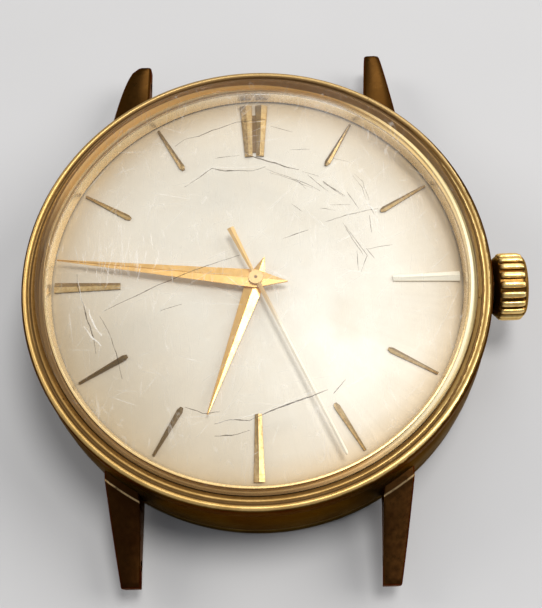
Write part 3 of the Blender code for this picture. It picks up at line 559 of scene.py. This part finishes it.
def glass_material():
    """Clear acrylic: see-through with a mirror share, browned at its wall, hazed by fine scratches."""
    n = Nodes("acrylic_glass")
    radius = n.radius()
    x, y, z = n.split()
    sideways = n.math("DIVIDE", x, radius)
    tint = n.ramp(
        n.window(radius, 15.9, 16.8),
        (0.0, (0.99, 0.985, 0.97)),
        (0.45, (0.98, 0.95, 0.89)),
        (0.80, (0.95, 0.89, 0.78)),
        (1.0, (0.90, 0.81, 0.66)),
    )
    clear = n.node("ShaderNodeBsdfTransparent", Color=tint)
    # the mirror share is patchy, and weak on the shoulder
    smear = n.noise(0.22, 3.0, 0.5)
    scuffs = [
        n.noise(22.0, 2.0, 0.6, vector=n.stretch(scale, (0.0, 0.0, turn)))
        for scale, turn in (((1.0, 0.05, 1.0), 0.4), ((0.05, 1.0, 1.0), 1.1))
    ]
    normal = n.bump(n.total(*scuffs), 0.10, 0.01)
    gloss = n.node("ShaderNodeBsdfGlossy", Roughness=n.window(smear, 0.3, 0.7, 0.26, 0.36), Normal=normal)
    facing = n.node("ShaderNodeFresnel", IOR=1.49, Normal=normal)
    patchy = n.product(n.window(radius, 14.4, 15.7, 0.34, 0.08), n.window(smear, 0.38, 0.62, 0.25, 1.8))
    surface = n.layer(n.product(facing.outputs[0], patchy), clear.outputs[0], gloss.outputs[0])
    # hairlines: thin level lines of stretched noise, broken up by a coarser noise
    hair = None
    for turn, offset, patch in ((0.35, 0.0, 0.4), (1.25, 3.0, 0.4 + 0.3 / 7.0), (2.2, 7.0, 0.5)):
        field = n.noise(0.55, 2.0, 0.5, vector=n.stretch((1.0, 0.16, 1.0), (offset, offset, turn)))
        line = n.window(n.math("ABSOLUTE", n.math("SUBTRACT", field, 0.5)), 0.0045, 0.0)
        line = n.product(line, n.window(n.noise(patch, 2.0), 0.50, 0.60))
        hair = line if hair is None else n.math("MAXIMUM", hair, line)
    white = n.node("ShaderNodeBsdfPrincipled", Base_Color=(0.92, 0.89, 0.84), Roughness=0.35)
    surface = n.layer(n.total(n.product(hair, 0.20), 0.012), surface, white.outputs[0])
    # the browned wall; it starts a little further out at the bottom
    wall = n.node("ShaderNodeBsdfPrincipled", Base_Color=(0.25, 0.15, 0.06), Metallic=0.2, Roughness=0.35)
    wall.inputs["Specular IOR Level"].default_value = 0.25
    wall_reach = n.total(radius, n.window(y, 0.0, -8.0, 0.0, -0.10))
    surface = n.layer(n.product(n.window(wall_reach, 16.60, 16.68), 0.66), surface, wall.outputs[0])
    # a gleam of the bezel in the shoulder, on the right
    gleam_reach = n.total(radius, n.product(n.math("DIVIDE", y, radius), 0.55))
    gleam_share = n.product(
        n.band(gleam_reach, 16.02, 16.10, 16.26, 16.34),
        n.window(z, 7.6, 7.8),
        n.window(sideways, 0.45, 0.80, 0.0, 0.8),
    )
    gleam = n.node(
        "ShaderNodeBsdfPrincipled",
        Base_Color=n.mix(n.window(y, 0.0, 8.0), (1.0, 0.90, 0.62), (0.90, 0.66, 0.30)),
        Metallic=0.1,
        Roughness=0.3,
    )
    surface = n.layer(gleam_share, surface, gleam.outputs[0])
    # the foot shows the gold of its seat, higher up on the upper left; the gold is painted lighter towards the
    # top and paler on the right (painted highlight), and dark brown on the lower left (painted shade)
    left_gold = n.mix(n.window(y, -4.0, 10.0), (0.88, 0.66, 0.34), (1.0, 0.80, 0.46))
    gold = n.mix(n.window(x, 6.0, 15.0), left_gold, (1.0, 0.95, 0.72))
    lower_left = n.product(n.window(n.total(x, y), -6.0, -14.0), n.window(radius, 16.40, 16.50))
    gold = n.mix(lower_left, gold, (0.27, 0.16, 0.05))
    seat = n.node("ShaderNodeBsdfPrincipled", Base_Color=gold, Metallic=0.1, Roughness=0.4)
    corner = n.math("DIVIDE", n.product(n.math("SUBTRACT", y, x), 0.707), radius)
    low = n.math("SUBTRACT", z, n.window(corner, 0.55, 0.98, 0.10, 0.75))
    surface = n.layer(n.product(n.window(low, 7.10, 7.00), 0.95), surface, seat.outputs[0])
    n.put(n.output.inputs["Surface"], surface)
    n.tree.nodes.remove(n.shader)
    return n.material


GLASS = glass_material()


def crack_material(name, colour, share):
    """A line in the glass that fades in and out along its way."""
    n = Nodes(name)
    clear = n.node("ShaderNodeBsdfTransparent")
    along = n.noise(1.6, 3.0, 0.7)
    n.set(Base_Color=colour, Roughness=0.3, Normal=n.bump(along, 0.2, 0.01))
    faded = n.window(along, 0.30, 0.62, share * 0.45, share)
    n.put(n.output.inputs["Surface"], n.layer(faded, clear.outputs[0], n.shader.outputs[0]))
    return n.material


SCRATCH = crack_material("scratch_pale", (0.95, 0.92, 0.86), 0.55)
CRACK = crack_material("crack_dark", (0.060, 0.040, 0.026), 0.95)

# ------------------------------------------------------------------ shapes


def place(obj, material, body="case", node=None, slot=None):
    """Put a piece in the scene: it rides on a body, and may take the place of a node of the CAD model."""
    obj.data.transform(Matrix.Translation((0.0, 0.0, LIFT * MM)))
    obj.data.materials.clear()
    obj.data.materials.append(material)
    if obj.name not in SCENE.collection.all_objects:
        SCENE.collection.objects.link(obj)
    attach(obj, body)
    if node:
        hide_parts(node)


def smooth(obj, angle=40.0):
    """Shade smooth, with edges sharp over an angle in degrees."""
    obj.data.shade_smooth()
    obj.data.set_sharp_from_angle(angle=math.radians(angle))
    return obj


def mesh_of(work, name):
    """The finished bmesh as an object that isn't in the scene yet."""
    mesh = bpy.data.meshes.new(name)
    work.to_mesh(mesh)
    work.free()
    return bpy.data.objects.new(name, mesh)


def skin(work, first, second):
    """Faces between two closed rows of points; a row of one point is a pole."""
    count = max(len(first), len(second))
    if count == 1:
        return
    for i in range(count):
        j = (i + 1) % count
        if len(first) == 1:
            work.faces.new((first[0], second[i], second[j]))
        elif len(second) == 1:
            work.faces.new((first[i], second[0], first[j]))
        else:
            work.faces.new((first[i], second[i], second[j], first[j]))


def rounded(points, sizes, steps=4):
    """The same closed outline with each corner rounded by its own size."""
    result = []
    count = len(points)
    for i, (point, reach) in enumerate(zip(points, sizes)):
        if reach <= 0.0:
            result.append(point)
            continue
        here = Vector(point)
        before = Vector(points[i - 1]) - here
        after = Vector(points[(i + 1) % count]) - here
        first = here + before.normalized() * min(reach, before.length * 0.49)
        last = here + after.normalized() * min(reach, after.length * 0.49)
        for k in range(steps + 1):
            t = k / steps
            spot = first * (1 - t) ** 2 + here * 2 * t * (1 - t) + last * t * t
            result.append((spot.x, spot.y))
    return result


def lathe(name, profile, segments=256, closed=True):
    """A turned piece from (radius, height) points, with pole points where the radius is 0."""
    work = bmesh.new()
    rows = []
    for r, z in profile:
        if r < 1e-6:
            rows.append([work.verts.new((0.0, 0.0, z * MM))])
            continue
        row = []
        for i in range(segments):
            angle = 2 * math.pi * i / segments
            row.append(work.verts.new((r * MM * math.cos(angle), r * MM * math.sin(angle), z * MM)))
        rows.append(row)
    for first, second in zip(rows, rows[1:] + (rows[:1] if closed else [])):
        skin(work, first, second)
    bmesh.ops.recalc_face_normals(work, faces=work.faces)
    return smooth(mesh_of(work, name))


# ---- case -------------------------------------------------------------------
body_line = rounded(
    [(16.85, 6.55), (16.85, 5.52), (17.94, 5.52), (18.12, 3.8), (18.12, 0.95), (17.92, 0.41), (16.40, 0.41),
     (16.40, 0.92), (16.02, 0.92), (16.02, 5.70), (16.31, 5.70), (16.31, 6.55)],
    [0.05, 0, 0.12, 1.0, 0.3, 0.1, 0.05, 0, 0, 0, 0, 0.05],
)
place(lathe("case_body", body_line), GOLD_CASE, node="case_middle", slot="gold_plate")


def lug_rows(work, sx, sy, root, tip, bow, splay, tip_y):
    """The lug's sections, from under the bezel out to its tip."""
    rows = []
    shelf = [(17.3, 4.05), (17.9, 3.78), (CREST_R - 0.10, 3.58), (CREST_R, 3.52), (CREST_R + 0.12, 3.36)]
    blade, tip_top = 14, 1.62
    for k in range(len(shelf) + blade):
        if k < len(shelf):
            reach, top = shelf[k]
            along = 0.0
        else:
            along = (k - len(shelf) + 1) / blade
            reach, top = shelf[-1]
            top = top + (tip_top - top) * along - 0.14 * math.sin(math.pi * along)
        base = 0.42 + 0.10 * math.sin(math.pi * along)
        outer = tip + (root - tip) * (1.0 - along) ** bow
        inner = LUG_INNER + splay * along
        ring = [
            (inner, base),
            (inner, top - 0.20),
            (inner + 0.10, top - 0.05),
            (inner + 0.20, top),
            (outer - 0.34 * (outer - inner), top + 0.02),
            (outer - 0.12, top - 0.10),
            (outer, top - 0.34),
            (outer - 0.02, base + 0.3),
            (outer - 0.22, base),
        ]
        row = []
        for x, z in ring:
            y = math.sqrt(reach * reach - x * x)
            y += (tip_y - y) * along
            row.append(work.verts.new((x * sx * MM, y * sy * MM, z * MM)))
        rows.append(row)
    return rows


def lug(name, sx, sy, *shape):
    """One lug: a shelf that follows the flank out to a crest, then a blade that slopes down to its tip.

    shape is the outer edge's distances from the middle plane at the root and at the tip, its curve,
    how far the inner edge leans out at the tip, and how far out the tip reaches.
    """
    work = bmesh.new()
    rows = lug_rows(work, sx, sy, *shape)
    for first, second in zip(rows, rows[1:]):
        skin(work, first, second)
    work.faces.new(rows[0])
    work.faces.new(rows[-1])
    bmesh.ops.recalc_face_normals(work, faces=work.faces)
    obj = smooth(mesh_of(work, name), 35.0)
    SCENE.collection.objects.link(obj)

    # the blind hole for the spring bar, in the inner face
    work = bmesh.new()
    bmesh.ops.create_cone(
        work, cap_ends=True, segments=32, radius1=HOLE_R * MM, radius2=HOLE_R * MM, depth=2 * HOLE_DEPTH * MM
    )
    tool = mesh_of(work, name + "_hole")
    tool.rotation_euler = (0.0, math.radians(90.0), 0.0)
    tool.location = (LUG_INNER * sx * MM, HOLE_Y * sy * MM, HOLE_Z * MM)
    SCENE.collection.objects.link(tool)
    edge = obj.modifiers.new("edge", "BEVEL")
    edge.width = 0.05 * MM
    edge.segments = 2
    edge.limit_method = "ANGLE"
    edge.angle_limit = math.radians(40.0)
    cut = obj.modifiers.new("hole", "BOOLEAN")
    cut.operation = "DIFFERENCE"
    cut.object = tool
    bpy.context.view_layer.update()
    done = bpy.data.meshes.new_from_object(obj.evaluated_get(bpy.context.evaluated_depsgraph_get()))
    obj.modifiers.clear()
    obj.data = done
    bpy.data.objects.remove(tool, do_unlink=True)
    return smooth(obj, 35.0)


for tag, *shape in (
    ("11", -1, 1, 12.5, 10.3, 0.55, 0.0, 22.35),
    ("1", 1, 1, 12.1, 10.8, 0.9, 0.40, 22.75),
    ("7", -1, -1, 11.8, 10.65, 1.0, 0.10, 22.25),
    ("5", 1, -1, 11.5, 10.25, 1.0, -0.25, 22.45),
):
    place(lug("lug_" + tag, *shape), GOLD_LUG, node="case_middle", slot="gold_plate")

bezel_line = rounded(
    [(17.20, 7.37), (17.29, 7.24), (17.43, 7.26), (17.53, 7.44), (17.68, 7.50), (17.84, 7.44), (17.95, 7.28),
     (18.0, 7.05), (17.99, 5.56), (16.90, 5.56), (16.90, 6.60), (16.80, 6.60), (16.80, 7.12), (17.10, 7.35)],
    [0.05, 0.04, 0.06, 0.08, 0.08, 0.08, 0.10, 0.12, 0.05, 0, 0, 0, 0.05, 0.08],
)
place(lathe("bezel_ring", bezel_line, 320), GOLD_BEZEL, node="bezel", slot="gold_plate")

# ---- glass ------------------------------------------------------------------


def dome_z(r):
    """The height of the glass's outer face at a distance from the axis."""
    return TOP - (TOP - EDGE_Z) * (r / EDGE_R) ** 2


def shoulder(r, z, out, down, first_degrees, steps):
    """Points down a quarter turn that starts at first_degrees, so it joins the dome without a kink."""
    first = math.radians(first_degrees)
    line = []
    for i in range(1, steps + 1):
        angle = math.radians(first_degrees + (90.0 - first_degrees) * i / steps)
        share = (math.sin(angle) - math.sin(first)) / (1.0 - math.sin(first))
        line.append((r + out * share, z - down * (math.cos(first) - math.cos(angle))))
    return line


outer_line = [(EDGE_R * i / 26, dome_z(EDGE_R * i / 26)) for i in range(27)]
outer_line += shoulder(EDGE_R, EDGE_Z, 1.05, 1.02, 12.0, 10)
inner_line = [(CAVITY_R * i / 18, CAVITY_TOP - (CAVITY_TOP - CAVITY_Z) * (i / 18) ** 2) for i in range(19)]
inner_line += shoulder(CAVITY_R, CAVITY_Z, 0.91, 0.8, 15.0, 6)
glass_line = outer_line + [(16.75, 6.66), (16.31, 6.66)] + inner_line[::-1]
place(lathe("glass_dome", glass_line, closed=False), GLASS, node="crystal", slot="acrylic")

ring_line = rounded(
    [(16.26, 7.26), (16.26, 6.26), (15.84, 6.26), (15.90, 6.62), (16.08, 7.26)],
    [0.03, 0, 0.04, 0.3, 0.04],
)
place(lathe("tension_ring_turned", ring_line), GOLD_RING, node="tension_ring", slot="gold_plate")

# ---- dial -------------------------------------------------------------------
DIAL_HOLE, DIAL_UNDER = 0.64, 5.8
dial_line = [(DIAL_HOLE + (DIAL_FLAT_R - DIAL_HOLE) * i / 10, DIAL_TOP) for i in range(11)]
dial_line += [
    (DIAL_FLAT_R + (DIAL_R - DIAL_FLAT_R) * i / 8, DIAL_TOP - 0.16 * (i / 8) ** 2) for i in range(1, 9)
]
dial_line += [(DIAL_R, DIAL_UNDER), (DIAL_HOLE, DIAL_UNDER)]
place(lathe("dial_plate", dial_line), DIAL, node="dial", slot="dial_silvered")

# ---- back -------------------------------------------------------------------
back_line = [(0.0, -LIFT)]
for groove in (4.0, 8.5, 13.2, 13.6):
    back_line += [(groove - 0.10, -LIFT), (groove, 0.05 - LIFT), (groove + 0.10, -LIFT)]
back_line += [
    (17.55, -LIFT), (17.76, -1.13), (17.94, -1.0), (18.03, -0.86), (18.05, -0.70), (18.05, 0.02), (18.03, 0.14),
    (17.96, 0.25), (17.86, 0.33), (17.78, 0.35), (15.88, 0.36), (15.80, 1.50), (15.15, 1.50), (15.0, 0.80),
    (0.0, 0.80),
]
place(lathe("back_turned", back_line, closed=False), back_steel(), node="case_back", slot="case_back_steel")

# ---- crown ------------------------------------------------------------------


def rib_radius(r, x, i):
    """The crown's radius at step i around: ribs with lozenge ends, and grooves between them."""
    along = min(1.0, abs((x - CROWN_MIDDLE) / 0.98))
    crest = math.sqrt(max(0.0, 1.0 - along ** 5)) if r > 2.3 else 0.0
    across = abs(((i / RIB_STEPS + 0.5) % 1.0) - 0.5) / 0.5
    half = 0.74 * (0.45 + 0.55 * crest)
    bulge = max(0.0, 1.0 - (across / half) ** 3) if across < half else 0.0
    groove = 0.10 * crest if bulge == 0.0 else 0.0
    return r + (RIB_R - r) * crest * bulge ** 0.6 - groove


def crown_mesh():
    """The crown: 20 broad rounded ribs with deep grooves between them, and a low domed end."""
    line = [(0.0, CROWN_TOP), (0.7, 21.03), (1.4, 20.99), (1.9, 20.93), (2.15, 20.87), (2.28, 20.79),
            (2.36, 20.70)]
    line += [(CROWN_R, 20.66 - 1.96 * i / 24) for i in range(25)]
    line += [(2.34, 18.62), (2.22, 18.48), (2.05, 18.34), (1.95, CROWN_LOW), (1.34, CROWN_LOW), (1.34, 20.0),
             (0.5, 20.0), (0.5, 20.7), (0.0, 20.7)]
    work = bmesh.new()
    turns = CROWN_RIBS * RIB_STEPS
    rows = []
    for r, x in line:
        if r < 1e-6:
            rows.append([work.verts.new((x * MM, 0.0, STEM_Z * MM))])
            continue
        row = []
        for i in range(turns):
            angle = 2 * math.pi * i / turns
            radius = rib_radius(r, x, i)
            spot = (x, radius * math.cos(angle), STEM_Z + radius * math.sin(angle))
            row.append(work.verts.new([value * MM for value in spot]))
        rows.append(row)
    for first, second in zip(rows, rows[1:]):
        skin(work, first, second)
    bmesh.ops.recalc_face_normals(work, faces=work.faces)
    return smooth(mesh_of(work, "crown_ribbed"), 50.0)


place(crown_mesh(), GOLD_CROWN, body="crown_body", node="crown", slot="gold_plate")

# ---- cracks and scratches in the glass ---------------------------------------


def ribbons(name, strokes, material, lift):
    """Thin strips that lie on the glass: each stroke is ((x, y), (x, y), ...), a width and a wander."""
    work = bmesh.new()
    dice = random.Random(name)
    for points, width, wander in strokes:
        spine = []
        for a, b in zip(points, points[1:]):
            steps = max(2, int(math.dist(a, b) / 0.35))
            spine += [Vector(a).lerp(Vector(b), k / steps) for k in range(steps)]
        spine.append(Vector(points[-1]))
        wave = 0.0
        moved = []
        for k, spot in enumerate(spine):
            wave = wave * 0.7 + dice.uniform(-1.0, 1.0) * wander
            ahead = spine[min(k + 1, len(spine) - 1)] - spine[max(k - 1, 0)]
            side = Vector((-ahead.y, ahead.x)).normalized()
            moved.append((spot + side * wave, side))
        last = None
        for k, (spot, side) in enumerate(moved):
            # the strip thins towards both ends
            t = min(max(k / (len(moved) - 1), 0.06), 0.94)
            half = 0.56 * width * (0.35 + 0.65 * math.sin(math.pi * t)) * dice.uniform(0.6, 1.25)
            pair = []
            for sign in (-1, 1):
                p = spot + side * half * sign
                pair.append(work.verts.new((p.x * MM, p.y * MM, (dome_z(p.length) + lift) * MM)))
            if last:
                work.faces.new((last[0], pair[0], pair[1], last[1]))
            last = pair
    place(mesh_of(work, name), material, slot="acrylic")


def ends_of(x, y, turn, half):
    """The two ends of a straight stroke, from its middle, direction and half length."""
    dx, dy = half * math.cos(turn), half * math.sin(turn)
    return (x - dx, y - dy), (x + dx, y + dy)


# each stroke: its points on the dome in mm, its width, and how far it wanders
main_cracks = [
    (((-5.2, 6.4), (-4.2, 7.0), (-3.1, 7.9), (-2.1, 7.6), (0.0, 7.6), (1.0, 7.9)), 0.08, 0.05),
    (((-0.4, 9.1), (1.4, 8.3), (3.5, 7.5)), 0.09, 0.05),
    (((1.0, 7.7), (3.4, 6.6), (5.1, 5.7)), 0.05, 0.04),
    (((-6.0, 10.1), (-5.2, 10.7), (-4.1, 10.9), (-3.1, 11.4), (-1.2, 12.1), (1.0, 12.3)), 0.06, 0.05),
    (((-2.9, 8.8), (-1.0, 9.0)), 0.05, 0.03),
    (((-11.1, -3.3), (-7.3, -1.7), (-4.7, -0.7), (-1.0, 0.5)), 0.055, 0.02),
    (((-6.9, -3.6), (-5.3, -3.2)), 0.045, 0.02),
    (((-13.3, -0.2), (-13.2, -1.0), (-12.5, -3.4), (-11.8, -5.4), (-11.6, -6.5)), 0.07, 0.05),
    (((-11.4, -3.7), (-10.6, -5.1), (-10.1, -6.6), (-9.7, -8.5)), 0.05, 0.04),
    (((-3.0, -12.1), (-1.9, -11.8), (-0.5, -11.9), (0.2, -11.6)), 0.06, 0.04),
    (((0.2, -11.6), (2.5, -10.7), (3.9, -10.3), (5.1, -9.8)), 0.11, 0.03),
    (((5.5, -10.1), (6.4, -9.1)), 0.06, 0.02),
    (((-5.1, -10.8), (-3.8, -11.3), (-2.6, -11.2)), 0.06, 0.03),
    (((-3.0, -12.9), (-1.8, -12.9), (-0.5, -12.6)), 0.06, 0.04),
    (((5.4, 3.1), (6.9, 3.6), (8.6, 4.1), (9.4, 4.2)), 0.06, 0.04),
    (((6.9, 2.7), (7.6, 1.6), (8.3, 0.3), (7.9, -1.0)), 0.05, 0.05),
    (((8.3, 0.8), (10.3, 1.2)), 0.04, 0.03),
    (((7.6, 7.1), (8.3, 6.0), (8.5, 4.9)), 0.04, 0.04),
    (((8.7, 3.6), (8.8, 2.2)), 0.06, 0.04),
    (((5.3, 6.5), (6.8, 5.2)), 0.06, 0.04),
    (((2.2, 1.7), (4.1, 2.4)), 0.05, 0.02),
    (((3.8, 7.4), (5.0, 6.9)), 0.05, 0.04),
    (((1.3, 7.4), (2.7, 6.8), (4.5, 5.9)), 0.035, 0.05),
    (((4.2, 7.1), (5.1, 6.2), (5.7, 5.7)), 0.045, 0.04),
    (((5.3, 6.4), (6.1, 5.9), (6.9, 5.2)), 0.055, 0.03),
    (((7.1, 5.6), (7.9, 4.1)), 0.045, 0.04),
    (((7.7, 7.2), (8.3, 6.5), (8.7, 4.9)), 0.035, 0.04),
    (((6.7, 3.0), (7.2, 2.0), (8.1, 0.4)), 0.045, 0.05),
    (((7.6, 0.7), (7.7, -0.9)), 0.04, 0.03),
    (((5.0, 4.2), (6.2, 4.0)), 0.04, 0.03),
    (((5.8, 4.5), (7.3, 4.5)), 0.04, 0.03),
    (((2.9, 4.6), (3.7, 3.9)), 0.04, 0.03),
    (((8.3, 0.9), (8.9, 0.1)), 0.045, 0.03),
    (((2.9, 9.4), (4.4, 9.4)), 0.03, 0.03),
    (((5.9, 8.6), (7.4, 8.2)), 0.03, 0.03),
    (((1.4, 11.6), (3.1, 11.0)), 0.045, 0.04),
    (((8.7, 4.6), (9.1, 3.7)), 0.055, 0.04),
    (((3.3, 6.7), (4.0, 5.8)), 0.03, 0.03),
]
ribbons("glass_cracks", main_cracks, CRACK, 0.012)
dice = random.Random(11)
fine = [
    (((-13.2, -0.6), (-12.9, -2.2), (-12.4, -3.2)), 0.05, 0.06),
    (((-12.2, -3.0), (-11.9, -4.0), (-11.2, -5.2)), 0.12, 0.10),
    (((-12.6, -4.4), (-12.0, -5.2), (-11.2, -5.9)), 0.10, 0.10),
    (((-5.0, 6.6), (-3.1, 8.05), (-1.0, 7.85), (1.2, 8.0)), 0.04, 0.04),
    (((-2.8, -12.0), (0.2, -11.45), (2.6, -10.5), (5.0, -9.65)), 0.04, 0.03),
    (((-0.6, 9.2), (1.5, 8.45), (3.5, 7.65)), 0.04, 0.03),
    (((8.6, 4.6), (8.9, 4.2), (9.3, 3.9)), 0.10, 0.06),
]
# hairlines all over the dome
for _ in range(150):
    r, a = 15.0 * math.sqrt(dice.random()), dice.uniform(0, 2 * math.pi)
    ends = ends_of(r * math.cos(a), r * math.sin(a), dice.gauss(0.4, 0.7), dice.uniform(0.3, 1.9))
    if all(math.hypot(*end) < CAVITY_R for end in ends):
        fine.append((ends, dice.uniform(0.012, 0.03), 0.006))
# a rubbed patch on the left, across the minute hand
for _ in range(60):
    x, y, turn = dice.gauss(-9.5, 2.2), dice.gauss(0.7, 0.7), dice.gauss(1.5, 0.25)
    fine.append((ends_of(x, y, turn, dice.uniform(0.25, 0.8)), dice.uniform(0.02, 0.045), 0.004))
# short scores among the cracks on the upper right
for _ in range(60):
    x, y = dice.gauss(7.0, 1.7), dice.gauss(4.2, 2.2)
    turn = dice.choice((0.6, -0.9, 1.5)) + dice.gauss(0.0, 0.25)
    fine.append((ends_of(x, y, turn, dice.uniform(0.3, 1.1)), dice.uniform(0.015, 0.035), 0.03))
ribbons("glass_scratches", fine, SCRATCH, 0.016)

# ---- seconds hand -------------------------------------------------------------


def sweep_blade():
    """The seconds hand's pointer: a ridged blade around the thin core, tapering to a blunt end."""
    low, middle, high = 7.305, 7.345, 7.45
    work = bmesh.new()
    rows = []
    for reach, half in ((0.45, 0.165), (3.0, 0.160), (9.0, 0.155), (15.1, 0.145), (15.35, 0.07)):
        section = ((-half, middle), (0.0, low), (half, middle), (0.0, high))
        rows.append([work.verts.new((x * MM, reach * MM, z * MM)) for x, z in section])
    for first, second in zip(rows, rows[1:]):
        skin(work, first, second)
    work.faces.new(rows[0][::-1])
    work.faces.new(rows[-1])
    bmesh.ops.recalc_face_normals(work, faces=work.faces)
    shown = -math.radians(6.0 * SECONDS_SHOWN)
    bmesh.ops.rotate(work, verts=work.verts, matrix=Matrix.Rotation(shown, 3, "Z"))
    return mesh_of(work, "seconds_blade")


place(sweep_blade(), SWEEP_GOLD, "seconds_work", slot="gilt_hands")

# ------------------------------------------------------------------ carried-over solids
LOOKS = {
    "gold_plate": GOLD_CASE,
    "gilt_hands": GILT,
    "dial_silvered": DIAL,
    "acrylic": GLASS,
    "case_back_steel": STEEL,
    "black_rubber": RUBBER,
    "grey_plastic": HOLDER,
    "gilt_brass": BRASS,
    "nickelled_brass": NICKEL,
    "blued_steel": BLUED,
    "polished_steel": STEEL,
}
for part in frame["record"]["subparts"]:
    node = bpy.data.objects[part["node"]]
    look = LOOKS[part["material_slot"]]
    if part["node"].startswith("hour_marker"):
        look = MARKER_GOLD
    elif part["node"] == "seconds_hand":
        look = SWEEP_GOLD
    for held in node.material_slots:
        held.material = look

# ------------------------------------------------------------------ floor, light, camera
n = Nodes("floor")
weave = n.noise(0.05, 3.0, 0.5)
n.set(Base_Color=n.mix(weave, (0.50, 0.50, 0.505), (0.54, 0.54, 0.55)), Roughness=0.75)
work = bmesh.new()
bmesh.ops.create_grid(work, x_segments=1, y_segments=1, size=3.0)
floor = mesh_of(work, "floor")
floor.location = (0.0, 0.0, -0.00002)
floor.data.materials.append(n.material)
SCENE.collection.objects.link(floor)

world = bpy.data.worlds.new("studio")
world.use_nodes = True
world.node_tree.nodes["Background"].inputs[0].default_value = (0.80, 0.82, 0.86, 1.0)
world.node_tree.nodes["Background"].inputs[1].default_value = 0.32
SCENE.world = world


def area(name, direction, distance, size, power, colour):
    """A round soft light, aimed at the middle of the watch from a distance in metres."""
    aim = Vector((0.0, 0.0, 0.006))
    data = bpy.data.lights.new(name, "AREA")
    data.shape = "DISK"
    data.size = size
    data.energy = power
    data.color = colour
    lamp = bpy.data.objects.new(name, data)
    way = Vector(direction).normalized()
    lamp.location = aim + way * distance
    lamp.rotation_euler = (-way).to_track_quat("-Z", "Y").to_euler()
    SCENE.collection.objects.link(lamp)


area("overhead", (0.20, 0.17, 0.95), 0.55, 0.20, 1.5, (1.0, 0.985, 0.955))
area("right_window", (0.82, 0.20, 0.62), 0.60, 0.42, 2.2, (1.0, 0.975, 0.94))
area("left_fill", (-0.80, 0.35, 0.55), 0.60, 0.30, 1.0, (1.0, 0.96, 0.90))
area("back_fill", (0.25, 0.85, 0.60), 0.70, 0.40, 1.2, (0.98, 0.985, 1.0))

# the camera looks steeply down from a little to the right of six o'clock
target = Vector((1.09, -1.80, 6.2 + LIFT)) * MM
distance = 91.65 * MM
elevation, azimuth, roll = math.radians(69.19), math.radians(4.17), math.radians(-5.61)
level = math.cos(elevation)
back = Vector((math.sin(azimuth) * level, -math.cos(azimuth) * level, math.sin(elevation)))
right = (-back).cross(Vector((0.0, 0.0, 1.0))).normalized()
up = right.cross(-back)
tilted = right * math.cos(roll) + up * math.sin(roll)
above = up * math.cos(roll) - right * math.sin(roll)
camera_data = bpy.data.cameras.new("camera")
camera_data.sensor_fit = "VERTICAL"
camera_data.sensor_height = 24.0
camera_data.lens = 47.325
camera_data.clip_start = 0.002
camera_data.clip_end = 10.0
camera = bpy.data.objects.new("camera", camera_data)
turn = Matrix((tilted, above, back)).transposed().to_4x4()
turn.translation = target + back * distance
camera.matrix_world = turn
SCENE.collection.objects.link(camera)
SCENE.camera = camera
SCENE.view_settings.view_transform = "Standard"
